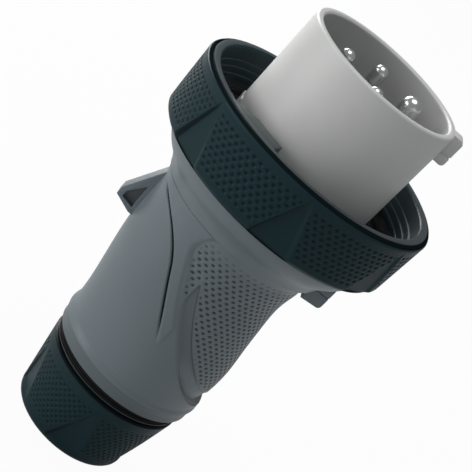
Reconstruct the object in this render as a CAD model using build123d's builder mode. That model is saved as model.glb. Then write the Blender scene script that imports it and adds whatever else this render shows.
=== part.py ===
from build123d import *
from math import cos, hypot, radians, sin
import os

# Industrial pin and sleeve plug, 16 A, three phases and earth, with a bayonet locking ring.
# It stands on its gland nut, mouth up. Millimetres. The origin is on the main axis, on the
# surface that the nut stands on. +X points to the guide key and the earth pin, -X to the lug.

# Lengths along the axis, from the foot up
nut_length = 27.2
nut_collar_height = 0.6
seal_zone_height = 4.5
body_length = 66.3
collar_height = 16.9
flange_thickness = 3.0
ring_length = 23.2
sleeve_reach = 47.1
pin_length = 34.5
earth_pin_lead = 2.4

# Gland nut and cable entry, on an axis set to the key side of the main one
gland_shift = 3.4
nut_front_radius = 26.1
nut_rear_radius = 22.0
nut_rounding = 3.2
nut_edge = 0.8
nut_floor = 4.0
nut_wall = 3.6
nut_cone_height = 7.0
nut_collar_step = 1.6
nut_facets = 5
nut_facet_half_angle = 17.0
nut_facet_lean = 3.0
nut_facet_sink = 0.8
nut_turn_at_rest = -87.0
cable_hole_radius = 11.0
cable_hole_edge = 1.0
slip_washer_thickness = 1.2
gland_washer_thickness = 0.4
gland_washer_step = 0.4
gland_gasket_step = 0.8
cable_radius = 6.0
stub_wall = 2.6
stub_length = 15.0
grommet_length = 16.0
cage_fingers = 8
cage_slot = 1.6
cage_lip = 1.6

# Rear housing
body_wall = 3.0
foot_height = 4.5
foot_radius = 27.8
foot_chamfer = 1.3
foot_fade = 3.8
foot_fade_depth = 0.7
neck_radius = 29.5
flare_reach = 1.9
flare_arc = 11.0
grip_depth = 0.6
grip_foot = 8.8
grip_corner_rise = 57.5
band_extra_depth = 0.35
band_foot = 13.5
band_tip_rise = 50.8
band_slant_foot = 41.3
groove_depth = 1.3
groove_width = 0.8
groove_tip_rise = 25.3
lug_thickness = 6.0
lug_root = 27.2
lug_top_reach = 29.7
lug_tip_reach = 36.9
lug_foot_reach = 30.2
lug_top_drop = 4.7
lug_tip_drop = 18.4
lug_tip_height = 2.8
lug_foot_drop = 23.7
lug_pocket_drop = 12.5
lug_pocket_depth = 2.1
lug_rim = 2.0
tab_width = 12.0
tab_reach = 36.3
tab_drop = 5.0
tab_rise = 5.5
tab_corner = 1.5
spigot_wall = 2.9
spigot_length = 8.5
cutter_reach = 60.0

# Front collar that carries the locking ring
collar_neck_height = 3.3
collar_bend = 0.35

# Locking ring
ring_front_radius = 46.1
ring_taper = 1.2
ring_wall = 4.5
ring_lip = 2.4
ring_ridge_step = 0.6
ring_ridge_pitch = 2.4
ring_ridges = 3
ring_edge = 1.4
ring_bore_edge = 0.5
ring_facets = 7
ring_facet_angle = -85.0
ring_facet_half_angle = 10.0
ring_facet_sink = 1.0
ring_lug_reach = 7.2
ring_lug_setback = 0.3
ring_lug_thickness = 3.6
ring_lug_span = 29.0
ring_lug_angle = -124.0
ring_lugs = 2

# Sleeve, pins and terminals
sleeve_radius = 28.6
sleeve_foot_radius = 27.9
sleeve_wall = 2.7
sleeve_floor = 8.0
flange_play = 0.5
notch_turn = 80.0
notch_play = 2.0
skirt_inset = 4.5
skirt_wall = 3.3
skirt_length = 5.7
key_reach = 3.6
key_width = 5.6
key_front_length = 6.6
key_block_length = 3.4
key_groove = 0.5
rib_setback = 7.0
rib_width = 9.0
rib_height = 0.6
pin_circle_radius = 12.6
phase_pin_radius = 2.5
earth_pin_radius = 3.5
pin_shoulder = 0.5
pin_shoulder_height = 0.6
phase_barrel_radius = 4.1
earth_barrel_radius = 4.7
barrel_length = 22.0
wire_bore_depth = 13.0
wire_bore_radius = 2.4
terminal_screw_radius = 1.75
terminal_screw_length = 6.0
terminal_screw_height = 7.0
retainer_thickness = 3.0
carrier_screw_radius = 1.5
carrier_screw_head_radius = 2.8
carrier_screw_head_height = 2.2
carrier_screw_circle = 16.6
carrier_screw_bite = 4.5
pilot_spare = 0.5
screw_slot_width = 0.7
screw_slot_length = 3.2
screw_slot_depth = 1.2

# Seals
mouth_seal_height = 3.6
mouth_seal_lips = 2
lip_land = 1.2
lip_depth = 1.4
flange_seal_inset = 5.6
flange_seal_width = 2.0
flange_seal_depth = 1.5
spigot_seal_depth = 1.5
spigot_seal_setback = 3.0
spigot_seal_height = 2.2

# Clearances
turning_gap = 0.4
seat_gap = 0.15
pin_gap = 0.1

# Levels that follow from the lengths
body_foot = nut_length + seal_zone_height
parting = body_foot + body_length
ring_rear = parting + collar_height - collar_neck_height + turning_gap
flange_foot = parting + collar_height
flange_top = flange_foot + flange_thickness
ring_front = ring_rear + ring_length
rim = flange_top + sleeve_reach
floor_top = rim - earth_pin_lead - pin_length
floor_foot = floor_top - sleeve_floor
nut_bore_radius = nut_front_radius - nut_wall
stub_radius = nut_bore_radius - turning_gap
stub_bore_radius = stub_radius - stub_wall
stub_foot = body_foot - stub_length
spigot_radius = neck_radius - seat_gap
cavity_radius = spigot_radius - spigot_wall
skirt_radius = neck_radius - skirt_inset
flare_radius = neck_radius + flare_reach
block_radius = skirt_radius - skirt_wall - seat_gap
block_foot = floor_foot - barrel_length - seat_gap
retainer_foot = block_foot - retainer_thickness

# Radii that follow from the ring and the neck
ring_rear_radius = ring_front_radius - ring_taper
ring_bore_radius = ring_front_radius - ring_wall
ring_lug_radius = ring_bore_radius - ring_lug_reach
flange_radius = ring_bore_radius - ring_ridges * ring_ridge_step - flange_play
mouth_seal_radius = flange_radius - 0.7
collar_neck_radius = flange_radius - 1.7
collar_shoulder_radius = collar_neck_radius + 2.8
flange_seal_radius = collar_neck_radius - flange_seal_inset

main_axis = Axis.Z
gland_axis = Axis((gland_shift, 0, 0), (0, 0, 1))
gland_section = Plane(origin=(gland_shift, 0, 0), x_dir=(1, 0, 0), z_dir=(0, -1, 0))

os.makedirs("parts", exist_ok=True)


def finish(piece, label):
    # Name a finished piece and write its file
    piece.part.label = label
    export_step(piece.part, f"parts/{label}.step")


def facet_cutter(count, turn, half_angle, lean, sink, rear_level, rear_radius, front_level, front_radius):
    # Blocks that cut pointed flats, each sunk along one side and flush along the other
    def on_skin(radius, angle, level):
        return Vector(radius * cos(radians(angle)), radius * sin(radians(angle)), level)

    with BuildPart() as cutter:
        for step in range(count):
            angle = turn + step * 360 / count
            tip = on_skin(front_radius, angle + lean, front_level)
            sunk = on_skin(rear_radius - sink, angle - half_angle, rear_level)
            flush = on_skin(rear_radius, angle + half_angle, rear_level)
            facing = (flush - sunk).cross(tip - sunk)
            if facing.dot(Vector(tip.X, tip.Y, 0)) < 0:
                facing = -facing
            flat = Plane(origin=sunk, x_dir=flush - sunk, z_dir=facing)
            corners = [tip, sunk + (sunk - tip) * 0.25, flush + (flush - tip) * 0.25]
            with BuildSketch(flat):
                with BuildLine():
                    Polyline(*[flat.to_local_coords(corner) for corner in corners], close=True)
                make_face()
            extrude(amount=rear_radius / 5)
    return cutter.part


# Cable gland: the nut, its slip washer, the clamping cage, the grommet and the seals

with BuildPart() as gland_nut:
    with BuildSketch(gland_section):
        with BuildLine():
            Polyline(
                (nut_rear_radius - nut_rounding, 0),
                (cable_hole_radius + cable_hole_edge, 0),
                (cable_hole_radius, cable_hole_edge),
                (cable_hole_radius, nut_floor - cable_hole_edge),
                (nut_bore_radius - nut_cone_height, nut_floor),
                (nut_bore_radius, nut_floor + nut_cone_height),
                (nut_bore_radius, nut_length + nut_collar_height),
                (nut_front_radius - nut_collar_step, nut_length + nut_collar_height),
                (nut_front_radius - nut_collar_step, nut_length),
                (nut_front_radius - nut_edge, nut_length),
                (nut_front_radius, nut_length - nut_edge),
                (nut_rear_radius, nut_rounding),
            )
            RadiusArc((nut_rear_radius, nut_rounding), (nut_rear_radius - nut_rounding, 0), nut_rounding)
        make_face()
    revolve(axis=gland_axis)
    nut_flats = facet_cutter(
        nut_facets, nut_turn_at_rest, nut_facet_half_angle, nut_facet_lean, nut_facet_sink,
        nut_rounding, nut_rear_radius, nut_length - 2 * nut_edge, nut_front_radius,
    )
    add(nut_flats.moved(Location((gland_shift, 0, 0))), mode=Mode.SUBTRACT)
finish(gland_nut, "gland_nut")

with BuildPart() as slip_washer:
    washer_foot = nut_floor + 3.2
    washer_outer = nut_bore_radius - nut_cone_height + 2.6
    with BuildSketch(Plane.XY.offset(washer_foot)):
        with Locations((gland_shift, 0)):
            Circle(washer_outer)
            Circle(cable_hole_radius, mode=Mode.SUBTRACT)
    extrude(amount=slip_washer_thickness)
finish(slip_washer, "slip_washer")

with BuildPart() as clamp_cage:
    cage_outer = stub_bore_radius - seat_gap
    cage_inner = cage_outer - 2.0
    cage_foot = washer_foot + slip_washer_thickness
    cage_top = stub_foot + 8.0
    with BuildSketch(gland_section):
        with BuildLine():
            Polyline(
                (cage_inner - 3.2, cage_foot),
                (washer_outer - 0.4, cage_foot),
                (stub_radius - cage_lip, stub_foot - cage_lip),
                (stub_radius - 0.3, stub_foot - cage_lip),
                (stub_radius - 0.3, stub_foot),
                (cage_outer, stub_foot),
                (cage_outer, cage_top),
                (cage_inner, cage_top),
                (cage_inner, stub_foot - 1),
                close=True,
            )
        make_face()
    revolve(axis=gland_axis)
    with Locations(Location((gland_shift, 0, cage_foot))):
        with PolarLocations(cage_inner, cage_fingers):
            Box(12, cage_slot, 2 * (stub_foot - cage_lip - cage_foot), mode=Mode.SUBTRACT)
finish(clamp_cage, "clamp_cage")

with BuildPart() as cable_grommet:
    grommet_outer = cage_inner - seat_gap
    grommet_foot = stub_foot - 1
    with BuildSketch(gland_section):
        with BuildLine():
            Polyline(
                (cable_radius + 1.5, grommet_foot),
                (grommet_outer - 0.6, grommet_foot),
                (grommet_outer, grommet_foot + 0.6),
                (grommet_outer, grommet_foot + grommet_length - 1.2),
                (grommet_outer - 1.2, grommet_foot + grommet_length),
                (cable_radius + 2, grommet_foot + grommet_length),
                (cable_radius, grommet_foot + grommet_length - 3),
                (cable_radius, grommet_foot + 3),
                close=True,
            )
        make_face()
    revolve(axis=gland_axis)
finish(cable_grommet, "cable_grommet")

washer_level = nut_length + nut_collar_height + turning_gap

with BuildPart() as gland_washer:
    with BuildSketch(Plane.XY.offset(washer_level)):
        with Locations((gland_shift, 0)):
            Circle(nut_front_radius - gland_washer_step)
            Circle(stub_radius + seat_gap, mode=Mode.SUBTRACT)
    extrude(amount=gland_washer_thickness)
finish(gland_washer, "gland_washer")

with BuildPart() as gland_gasket:
    gasket_foot = washer_level + gland_washer_thickness
    gasket_outer = nut_front_radius - gland_gasket_step
    with BuildSketch(gland_section):
        with BuildLine():
            Polyline(
                (stub_radius, gasket_foot),
                (gasket_outer, gasket_foot),
                (gasket_outer, body_foot),
                (stub_radius, body_foot),
                close=True,
            )
        make_face()
    revolve(axis=gland_axis)
finish(gland_gasket, "gland_gasket")


# Rear housing: an S-shaped shell that leads from the gland axis to the main axis

# Height above the foot as a share of the body, then the reach to the lug side and to the key side
body_stations = [
    (0.065, 23.5, 30.6),
    (0.20, 24.3, 31.6),
    (0.34, 25.8, 31.7),
    (0.48, 27.5, 30.5),
    (0.64, 29.0, 29.2),
    (0.80, 29.4, 28.5),
    (0.91, neck_radius, neck_radius),
]


def body_form(inset, key_inset):
    # The body's outer skin, moved in by an even inset and further on the key side
    with BuildPart() as form:
        for share, lug_side, key_side in body_stations:
            left = lug_side - inset
            right = key_side - inset - key_inset
            with BuildSketch(Plane.XY.offset(body_foot + share * body_length)):
                with Locations(((right - left) / 2, 0)):
                    Circle((right + left) / 2)
        loft()
        neck_level = body_foot + body_stations[-1][0] * body_length
        flare_shift = -key_inset / 2
        flare_inset = inset + key_inset / 2
        with BuildSketch(Plane(origin=(flare_shift, 0, 0), x_dir=(1, 0, 0), z_dir=(0, -1, 0))):
            with BuildLine():
                base = Line((0, neck_level), (neck_radius - flare_inset, neck_level))
                flare = RadiusArc(base @ 1, (flare_radius - flare_inset, parting), -flare_arc)
                Polyline(flare @ 1, (0, parting), base @ 0)
            make_face()
        revolve(axis=Axis((flare_shift, 0, 0), (0, 0, 1)))
    return form.part


# The grip panel's edge seen from the side: a round top corner, then one long arc to the key side
with BuildSketch(Plane.XZ) as grip_outline:
    with BuildLine():
        grip_top = parting + 1
        grip_corner = (-9.4, body_foot + grip_corner_rise)
        top_edge = Line((cutter_reach, grip_top), (-5.6, grip_top))
        corner = Spline(top_edge @ 1, (-8.4, parting - 2), grip_corner)
        long_arc = ThreePointArc(corner @ 1, (3.9, body_foot + 34.3), (29, body_foot + grip_foot))
        Polyline(long_arc @ 1, (cutter_reach, body_foot + grip_foot), top_edge @ 0)
    make_face()

# The smooth band between that edge and the dimpled field, its upper end cut along the axis
with BuildSketch(Plane.XZ) as band_outline:
    add(grip_outline.sketch_local)
    with BuildLine():
        band_tip = (-0.2, body_foot + band_tip_rise)
        field_arc = ThreePointArc(band_tip, (11.2, body_foot + 32.5), (31, body_foot + band_foot))
        Polyline(
            field_arc @ 1,
            (cutter_reach, body_foot + band_foot),
            (cutter_reach, body_foot),
            (-0.4, body_foot),
            (-0.4, body_foot + band_slant_foot),
            band_tip,
        )
    make_face(mode=Mode.INTERSECT)

with BuildPart() as grip_cutter:
    extrude(grip_outline.sketch, amount=cutter_reach, both=True)
    add(body_form(0, 2 * grip_depth), mode=Mode.SUBTRACT)

with BuildPart() as band_cutter:
    extrude(band_outline.sketch, amount=cutter_reach, both=True)
    add(body_form(band_extra_depth, 2 * grip_depth), mode=Mode.SUBTRACT)

with BuildPart() as groove_cutter:
    # A thin groove that curves down from the lug, then runs straight to a point above the foot
    with BuildSketch(Plane.XZ):
        with BuildLine():
            groove_top = (-28.6, parting - 4)
            groove_bend = (-11.6, parting - 17)
            groove_tip = (3.0, body_foot + groove_tip_rise)
            near_arc = ThreePointArc(groove_top, (-19.2, parting - 9.1), groove_bend)
            Line(near_arc @ 1, groove_tip)
            far_line = Line(groove_tip, (groove_bend[0] + groove_width, groove_bend[1]))
            ThreePointArc(far_line @ 1, (-19.2 + groove_width, parting - 8.7), groove_top)
        make_face()
    extrude(amount=cutter_reach, both=True)
    add(body_form(groove_depth, 0), mode=Mode.SUBTRACT)

with BuildPart() as rear_housing:
    add(body_form(0, 0))
    with BuildSketch(gland_section):
        with BuildLine():
            Polyline(
                (0, body_foot),
                (foot_radius - foot_chamfer, body_foot),
                (foot_radius, body_foot + foot_height),
            )
            fade_top = body_foot + foot_height + foot_fade
            RadiusArc(
                (foot_radius, body_foot + foot_height),
                (foot_radius - foot_fade_depth, fade_top), -2.5 * foot_fade,
            )
            Polyline(
                (foot_radius - foot_fade_depth, fade_top),
                (0, fade_top),
                (0, body_foot),
            )
        make_face()
    revolve(axis=gland_axis)
    # Lug on the side away from the key, a thick wedge with a blind pocket on either face
    with BuildSketch(Plane.XZ):
        with BuildLine():
            Polyline(
                (-lug_root, parting - lug_top_drop),
                (-lug_top_reach, parting - lug_top_drop),
                (-lug_tip_reach, parting - lug_tip_drop),
                (-lug_tip_reach, parting - lug_tip_drop - lug_tip_height),
                (-lug_foot_reach, parting - lug_foot_drop),
                (-lug_root, parting - lug_foot_drop),
                close=True,
            )
        make_face()
    extrude(amount=lug_thickness / 2, both=True)
    # Tab on the key side, its lower corner rounded
    with BuildSketch(Plane.XZ):
        with BuildLine():
            tab_foot = parting - tab_drop
            Polyline(
                (neck_radius - 1, parting),
                (neck_radius - 1, tab_foot - tab_corner / 2),
                (tab_reach - tab_corner, tab_foot),
            )
            RadiusArc((tab_reach - tab_corner, tab_foot), (tab_reach, tab_foot + tab_corner), -tab_corner)
            Polyline((tab_reach, tab_foot + tab_corner), (tab_reach, parting), (neck_radius - 1, parting))
        make_face()
    extrude(amount=tab_width / 2, both=True)
    # Grip panel, band and groove
    add(grip_cutter.part, mode=Mode.SUBTRACT)
    add(band_cutter.part, mode=Mode.SUBTRACT)
    add(groove_cutter.part, mode=Mode.SUBTRACT)
    # Spigot that enters the collar, with the groove for its seal
    with BuildSketch(Plane.XY.offset(parting)):
        Circle(spigot_radius)
    extrude(amount=spigot_length)
    with BuildSketch(Plane.XY.offset(parting + spigot_seal_setback)):
        Circle(spigot_radius)
        Circle(spigot_radius - spigot_seal_depth, mode=Mode.SUBTRACT)
    extrude(amount=spigot_seal_height, mode=Mode.SUBTRACT)
    # Threaded stub for the gland nut
    with BuildSketch(Plane.XY.offset(stub_foot)):
        with Locations((gland_shift, 0)):
            Circle(stub_radius)
    extrude(amount=stub_length)
    # Inside: the cavity follows the skin, and the gland's bore opens into it
    cavity_floor = body_foot + body_stations[0][0] * body_length
    with BuildSketch(Plane.XY.offset(stub_foot)):
        with Locations((gland_shift, 0)):
            Circle(stub_bore_radius)
    extrude(amount=cavity_floor - stub_foot + 0.5, mode=Mode.SUBTRACT)
    for share, lug_side, key_side in body_stations:
        left_wall = lug_side - body_wall
        right_wall = key_side - body_wall - 2 * grip_depth
        with BuildSketch(Plane.XY.offset(body_foot + share * body_length)):
            with Locations(((right_wall - left_wall) / 2, 0)):
                Circle((right_wall + left_wall) / 2)
    loft(mode=Mode.SUBTRACT)
    with BuildSketch(Plane.XY.offset(body_foot + body_stations[-1][0] * body_length - 1)):
        Circle(cavity_radius - 0.5)
    extrude(amount=body_length, mode=Mode.SUBTRACT)
    # Pockets in the lug's two faces
    for side in (-1, 1):
        pocket_face = Plane.XZ.offset(side * lug_thickness / 2)
        with BuildSketch(pocket_face):
            with BuildLine():
                Polyline(
                    (-lug_top_reach - lug_rim / 2, parting - lug_pocket_drop),
                    (-lug_tip_reach + lug_rim, parting - lug_tip_drop),
                    (-lug_tip_reach + lug_rim, parting - lug_tip_drop - lug_tip_height + lug_rim / 4),
                    (-lug_foot_reach, parting - lug_foot_drop + lug_rim),
                    close=True,
                )
            make_face()
        extrude(amount=-side * lug_pocket_depth, mode=Mode.SUBTRACT)
finish(rear_housing, "rear_housing")

with BuildPart() as spigot_seal:
    with BuildSketch(Plane.XY.offset(parting + spigot_seal_setback)):
        Circle(spigot_radius + seat_gap)
        Circle(spigot_radius - spigot_seal_depth, mode=Mode.SUBTRACT)
    extrude(amount=spigot_seal_height)
    fillet(spigot_seal.edges().filter_by(GeomType.CIRCLE), radius=spigot_seal_height * 0.2)
finish(spigot_seal, "spigot_seal")


# Front collar: a skirt that flares out behind the ring, and the neck that the ring turns on

with BuildPart() as front_collar:
    with BuildSketch(Plane.XZ):
        with BuildLine():
            web_foot = parting + spigot_length + seat_gap
            shoulder_top = flange_foot - collar_neck_height
            shoulder_foot = shoulder_top - 1
            waist_radius = (flare_radius + collar_shoulder_radius) / 2
            waist_level = (parting + shoulder_foot) / 2
            Line((neck_radius, parting), (flare_radius, parting))
            hollow = ThreePointArc(
                (flare_radius, parting),
                ((flare_radius + waist_radius) / 2 - collar_bend, (parting + waist_level) / 2 + collar_bend),
                (waist_radius, waist_level),
            )
            swell = ThreePointArc(
                hollow @ 1,
                (
                    (waist_radius + collar_shoulder_radius) / 2 + collar_bend,
                    (waist_level + shoulder_foot) / 2 - collar_bend,
                ),
                (collar_shoulder_radius, shoulder_foot),
            )
            Polyline(
                swell @ 1,
                (collar_shoulder_radius, shoulder_top),
                (collar_neck_radius, shoulder_top),
                (collar_neck_radius, flange_foot),
                (flange_seal_radius + flange_seal_width / 2, flange_foot),
                (flange_seal_radius + flange_seal_width / 2, flange_foot - flange_seal_depth),
                (flange_seal_radius - flange_seal_width / 2, flange_foot - flange_seal_depth),
                (flange_seal_radius - flange_seal_width / 2, flange_foot),
                (skirt_radius + seat_gap, flange_foot),
                (skirt_radius + seat_gap, web_foot),
                (neck_radius, web_foot),
                (neck_radius, parting),
            )
        make_face()
    revolve(axis=main_axis)
    # The housing's tab goes on above the parting line
    with BuildSketch(Plane.XY.offset(parting)):
        with Locations(((tab_reach + neck_radius + 1) / 2, 0)):
            Rectangle(tab_reach - neck_radius - 1, tab_width)
    extrude(amount=tab_rise)
finish(front_collar, "front_collar")

with BuildPart() as flange_seal:
    with BuildSketch(Plane.XY.offset(flange_foot - flange_seal_depth)):
        Circle(flange_seal_radius + flange_seal_width / 2)
        Circle(flange_seal_radius - flange_seal_width / 2, mode=Mode.SUBTRACT)
    extrude(amount=flange_seal_depth)
    fillet(flange_seal.edges().filter_by(GeomType.CIRCLE), radius=flange_seal_depth * 0.25)
finish(flange_seal, "flange_seal")


# Locking ring: ridged bore, rear lip that stays behind the flange, two ramped bayonet lugs

with BuildPart() as locking_ring:
    lip_radius = collar_neck_radius + turning_gap
    ridge_foot = flange_top + mouth_seal_height + 1
    with BuildSketch(Plane.XZ):
        with BuildLine():
            Polyline(
                (lip_radius, ring_rear),
                (ring_rear_radius - ring_edge, ring_rear),
                (ring_rear_radius, ring_rear + ring_edge),
                (ring_front_radius, ring_front - ring_edge),
                (ring_front_radius - ring_edge * 0.8, ring_front),
                (ring_bore_radius + ring_bore_edge, ring_front),
                (ring_bore_radius, ring_front - ring_bore_edge),
            )
            corner_radius = ring_bore_radius
            corner_level = ridge_foot + ring_ridges * ring_ridge_pitch
            points = [(ring_bore_radius, ring_front - ring_bore_edge), (corner_radius, corner_level)]
            for ridge in range(ring_ridges):
                corner_radius -= ring_ridge_step
                points.append((corner_radius, corner_level))
                corner_level -= ring_ridge_pitch
                points.append((corner_radius, corner_level))
            points.append((ring_bore_radius, corner_level))
            points.append((ring_bore_radius, ring_rear + ring_lip))
            points.append((lip_radius, ring_rear + ring_lip))
            points.append((lip_radius, ring_rear))
            Polyline(*points)
        make_face()
    revolve(axis=main_axis)
    with BuildSketch(Plane.XY.offset(ring_front - ring_lug_thickness - ring_lug_setback)):
        for lug in range(ring_lugs):
            lug_start = radians(ring_lug_angle - ring_lug_span / 2 + lug * 360 / ring_lugs)
            lug_ramp = lug_start + radians(ring_lug_span / 3)
            lug_stop = lug_start + radians(ring_lug_span)
            outer = ring_bore_radius + ring_wall / 6
            with BuildLine():
                start = (outer * cos(lug_start), outer * sin(lug_start))
                ramp = (ring_lug_radius * cos(lug_ramp), ring_lug_radius * sin(lug_ramp))
                stop = (ring_lug_radius * cos(lug_stop), ring_lug_radius * sin(lug_stop))
                root = (outer * cos(lug_stop), outer * sin(lug_stop))
                Line(start, ramp)
                RadiusArc(ramp, stop, -ring_lug_radius)
                Line(stop, root)
                RadiusArc(root, start, outer)
            make_face()
    extrude(amount=ring_lug_thickness)
    ring_flats = facet_cutter(
        ring_facets, ring_facet_angle, ring_facet_half_angle, 0, ring_facet_sink,
        ring_rear + ring_edge, ring_rear_radius, ring_front - ring_edge, ring_front_radius,
    )
    add(ring_flats, mode=Mode.SUBTRACT)
finish(locking_ring, "locking_ring")


# Sleeve with its flange, floor, guide key and rib

phase_angles = {"l1": 90, "l2": 180, "l3": 270}
pins = {"earth": (0, earth_pin_radius, earth_barrel_radius, earth_pin_lead)}
for phase, angle in phase_angles.items():
    pins[phase] = (angle, phase_pin_radius, phase_barrel_radius, 0)
screw_angles = [45, 135, 225, 315]

with BuildPart() as sleeve:
    with BuildSketch(Plane.XZ):
        with BuildLine():
            Polyline(
                (0, floor_foot),
                (skirt_radius - skirt_wall, floor_foot),
                (skirt_radius - skirt_wall, flange_foot - skirt_length),
                (skirt_radius, flange_foot - skirt_length),
                (skirt_radius, flange_foot),
                (flange_radius, flange_foot),
                (flange_radius, flange_top),
                (sleeve_foot_radius, flange_top),
                (sleeve_radius, rim - 0.5),
                (sleeve_radius - 0.5, rim),
                (sleeve_radius - sleeve_wall + 0.4, rim),
                (sleeve_radius - sleeve_wall, rim - 0.6),
                (sleeve_foot_radius - sleeve_wall, floor_top),
                (0, floor_top),
                close=True,
            )
        make_face()
    revolve(axis=main_axis)
    # Guide key: a front bar at the rim, a thin groove and a shorter block behind it
    key_centre = sleeve_radius - 1 + (key_reach + 1) / 2
    with BuildSketch(Plane.XY.offset(rim)):
        with Locations((key_centre, 0)):
            Rectangle(key_reach + 1, key_width)
    extrude(amount=-key_front_length)
    with BuildSketch(Plane.XY.offset(rim - key_front_length)):
        with Locations((key_centre - 0.3, 0)):
            Rectangle(key_reach + 0.4, key_width - 0.6)
    extrude(amount=-key_groove)
    with BuildSketch(Plane.XY.offset(rim - key_front_length - key_groove)):
        with Locations((key_centre, 0)):
            Rectangle(key_reach + 1, key_width)
    extrude(amount=-key_block_length)
    block_level = rim - key_front_length - key_groove - key_block_length
    low_edges = sleeve.edges().filter_by(Axis.Y).filter_by(
        lambda edge: abs(edge.center().Z - block_level) < 0.01 and edge.center().X > sleeve_radius + 1
    )
    fillet(low_edges, radius=key_reach * 0.4)
    # Shallow rib opposite the key, from the flange almost to the rim
    with BuildSketch(Plane.XY.offset(flange_top)):
        with Locations((-sleeve_foot_radius + 1 - rib_height / 2, 0)):
            Rectangle(2 + rib_height, rib_width)
    extrude(amount=sleeve_reach - rib_setback)
    # The tube stays clear inside, above the floor
    with BuildSketch(Plane.XY.offset(floor_top)):
        Circle(sleeve_foot_radius - sleeve_wall)
    extrude(amount=sleeve_reach, mode=Mode.SUBTRACT)
    # Holes for the pins and pilot holes for the carrier screws
    for angle, pin_radius, barrel_radius, lead in pins.values():
        with BuildSketch(Plane.XY.offset(floor_foot)):
            with PolarLocations(pin_circle_radius, 1, start_angle=angle):
                Circle(pin_radius + pin_shoulder + pin_gap)
        extrude(amount=sleeve_floor, mode=Mode.SUBTRACT)
    with BuildSketch(Plane.XY.offset(floor_foot)):
        for angle in screw_angles:
            with PolarLocations(carrier_screw_circle, 1, start_angle=angle):
                Circle(carrier_screw_radius)
    extrude(amount=carrier_screw_bite + pilot_spare, mode=Mode.SUBTRACT)
    # Two notches let the flange pass the ring's lugs when the plug is put together
    with BuildSketch(Plane.XY.offset(flange_foot)):
        notch_angle = ring_lug_angle + notch_turn
        with PolarLocations((flange_radius + ring_lug_radius) / 2, ring_lugs, start_angle=notch_angle):
            notch_width = 2 * flange_radius * sin(radians(ring_lug_span / 2 + notch_play))
            Rectangle(flange_radius - ring_lug_radius + 1, notch_width)
    extrude(amount=flange_thickness, mode=Mode.SUBTRACT)
finish(sleeve, "sleeve")

with BuildPart() as mouth_seal:
    with BuildSketch(Plane.XZ):
        with BuildLine():
            seal_inner = hypot(sleeve_foot_radius + rib_height, rib_width / 2) + seat_gap
            seal_points = [(seal_inner, flange_top), (mouth_seal_radius, flange_top)]
            lip_pitch = (mouth_seal_radius - seal_inner) / mouth_seal_lips
            lip_top = flange_top + mouth_seal_height
            for lip in range(mouth_seal_lips):
                lip_outer = mouth_seal_radius - lip * lip_pitch
                seal_points.append((lip_outer, lip_top))
                seal_points.append((lip_outer - lip_land, lip_top))
                seal_points.append((lip_outer - 1.5 * lip_land, lip_top - lip_depth))
                seal_points.append((lip_outer - lip_pitch, lip_top - lip_depth))
            Polyline(*seal_points, close=True)
        make_face()
    revolve(axis=main_axis)
finish(mouth_seal, "mouth_seal")


# Contact carrier: an insulating block with the terminals, closed by a plate and four screws

screw_level = block_foot + terminal_screw_height

with BuildPart() as contact_block:
    with BuildSketch(Plane.XY.offset(block_foot)):
        Circle(block_radius)
    extrude(amount=floor_foot - block_foot)
    for angle, pin_radius, barrel_radius, lead in pins.values():
        with BuildSketch(Plane.XY.offset(block_foot)):
            with PolarLocations(pin_circle_radius, 1, start_angle=angle):
                Circle(barrel_radius + pin_gap)
        extrude(amount=floor_foot - block_foot, mode=Mode.SUBTRACT)
        with BuildSketch(Plane.YZ.rotated((0, 0, angle)).offset(pin_circle_radius)):
            with Locations((0, screw_level)):
                Circle(terminal_screw_radius + 0.5)
        extrude(amount=block_radius, mode=Mode.SUBTRACT)
    with BuildSketch(Plane.XY.offset(block_foot)):
        for angle in screw_angles:
            with PolarLocations(carrier_screw_circle, 1, start_angle=angle):
                Circle(carrier_screw_radius + pin_gap)
    extrude(amount=floor_foot - block_foot, mode=Mode.SUBTRACT)
    # A hole on the axis lightens the block and gives the wires room
    with BuildSketch(Plane.XY.offset(block_foot)):
        Circle(pin_circle_radius - earth_barrel_radius - 2)
    extrude(amount=barrel_length * 0.6, mode=Mode.SUBTRACT)
finish(contact_block, "contact_block")

with BuildPart() as pin_retainer:
    with BuildSketch(Plane.XY.offset(retainer_foot)):
        Circle(block_radius)
        for angle, pin_radius, barrel_radius, lead in pins.values():
            with PolarLocations(pin_circle_radius, 1, start_angle=angle):
                Circle(wire_bore_radius + 0.6, mode=Mode.SUBTRACT)
        for angle in screw_angles:
            with PolarLocations(carrier_screw_circle, 1, start_angle=angle):
                Circle(carrier_screw_radius + pin_gap, mode=Mode.SUBTRACT)
        Circle(pin_circle_radius - earth_barrel_radius - 2, mode=Mode.SUBTRACT)
    extrude(amount=retainer_thickness)
finish(pin_retainer, "pin_retainer")

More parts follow.
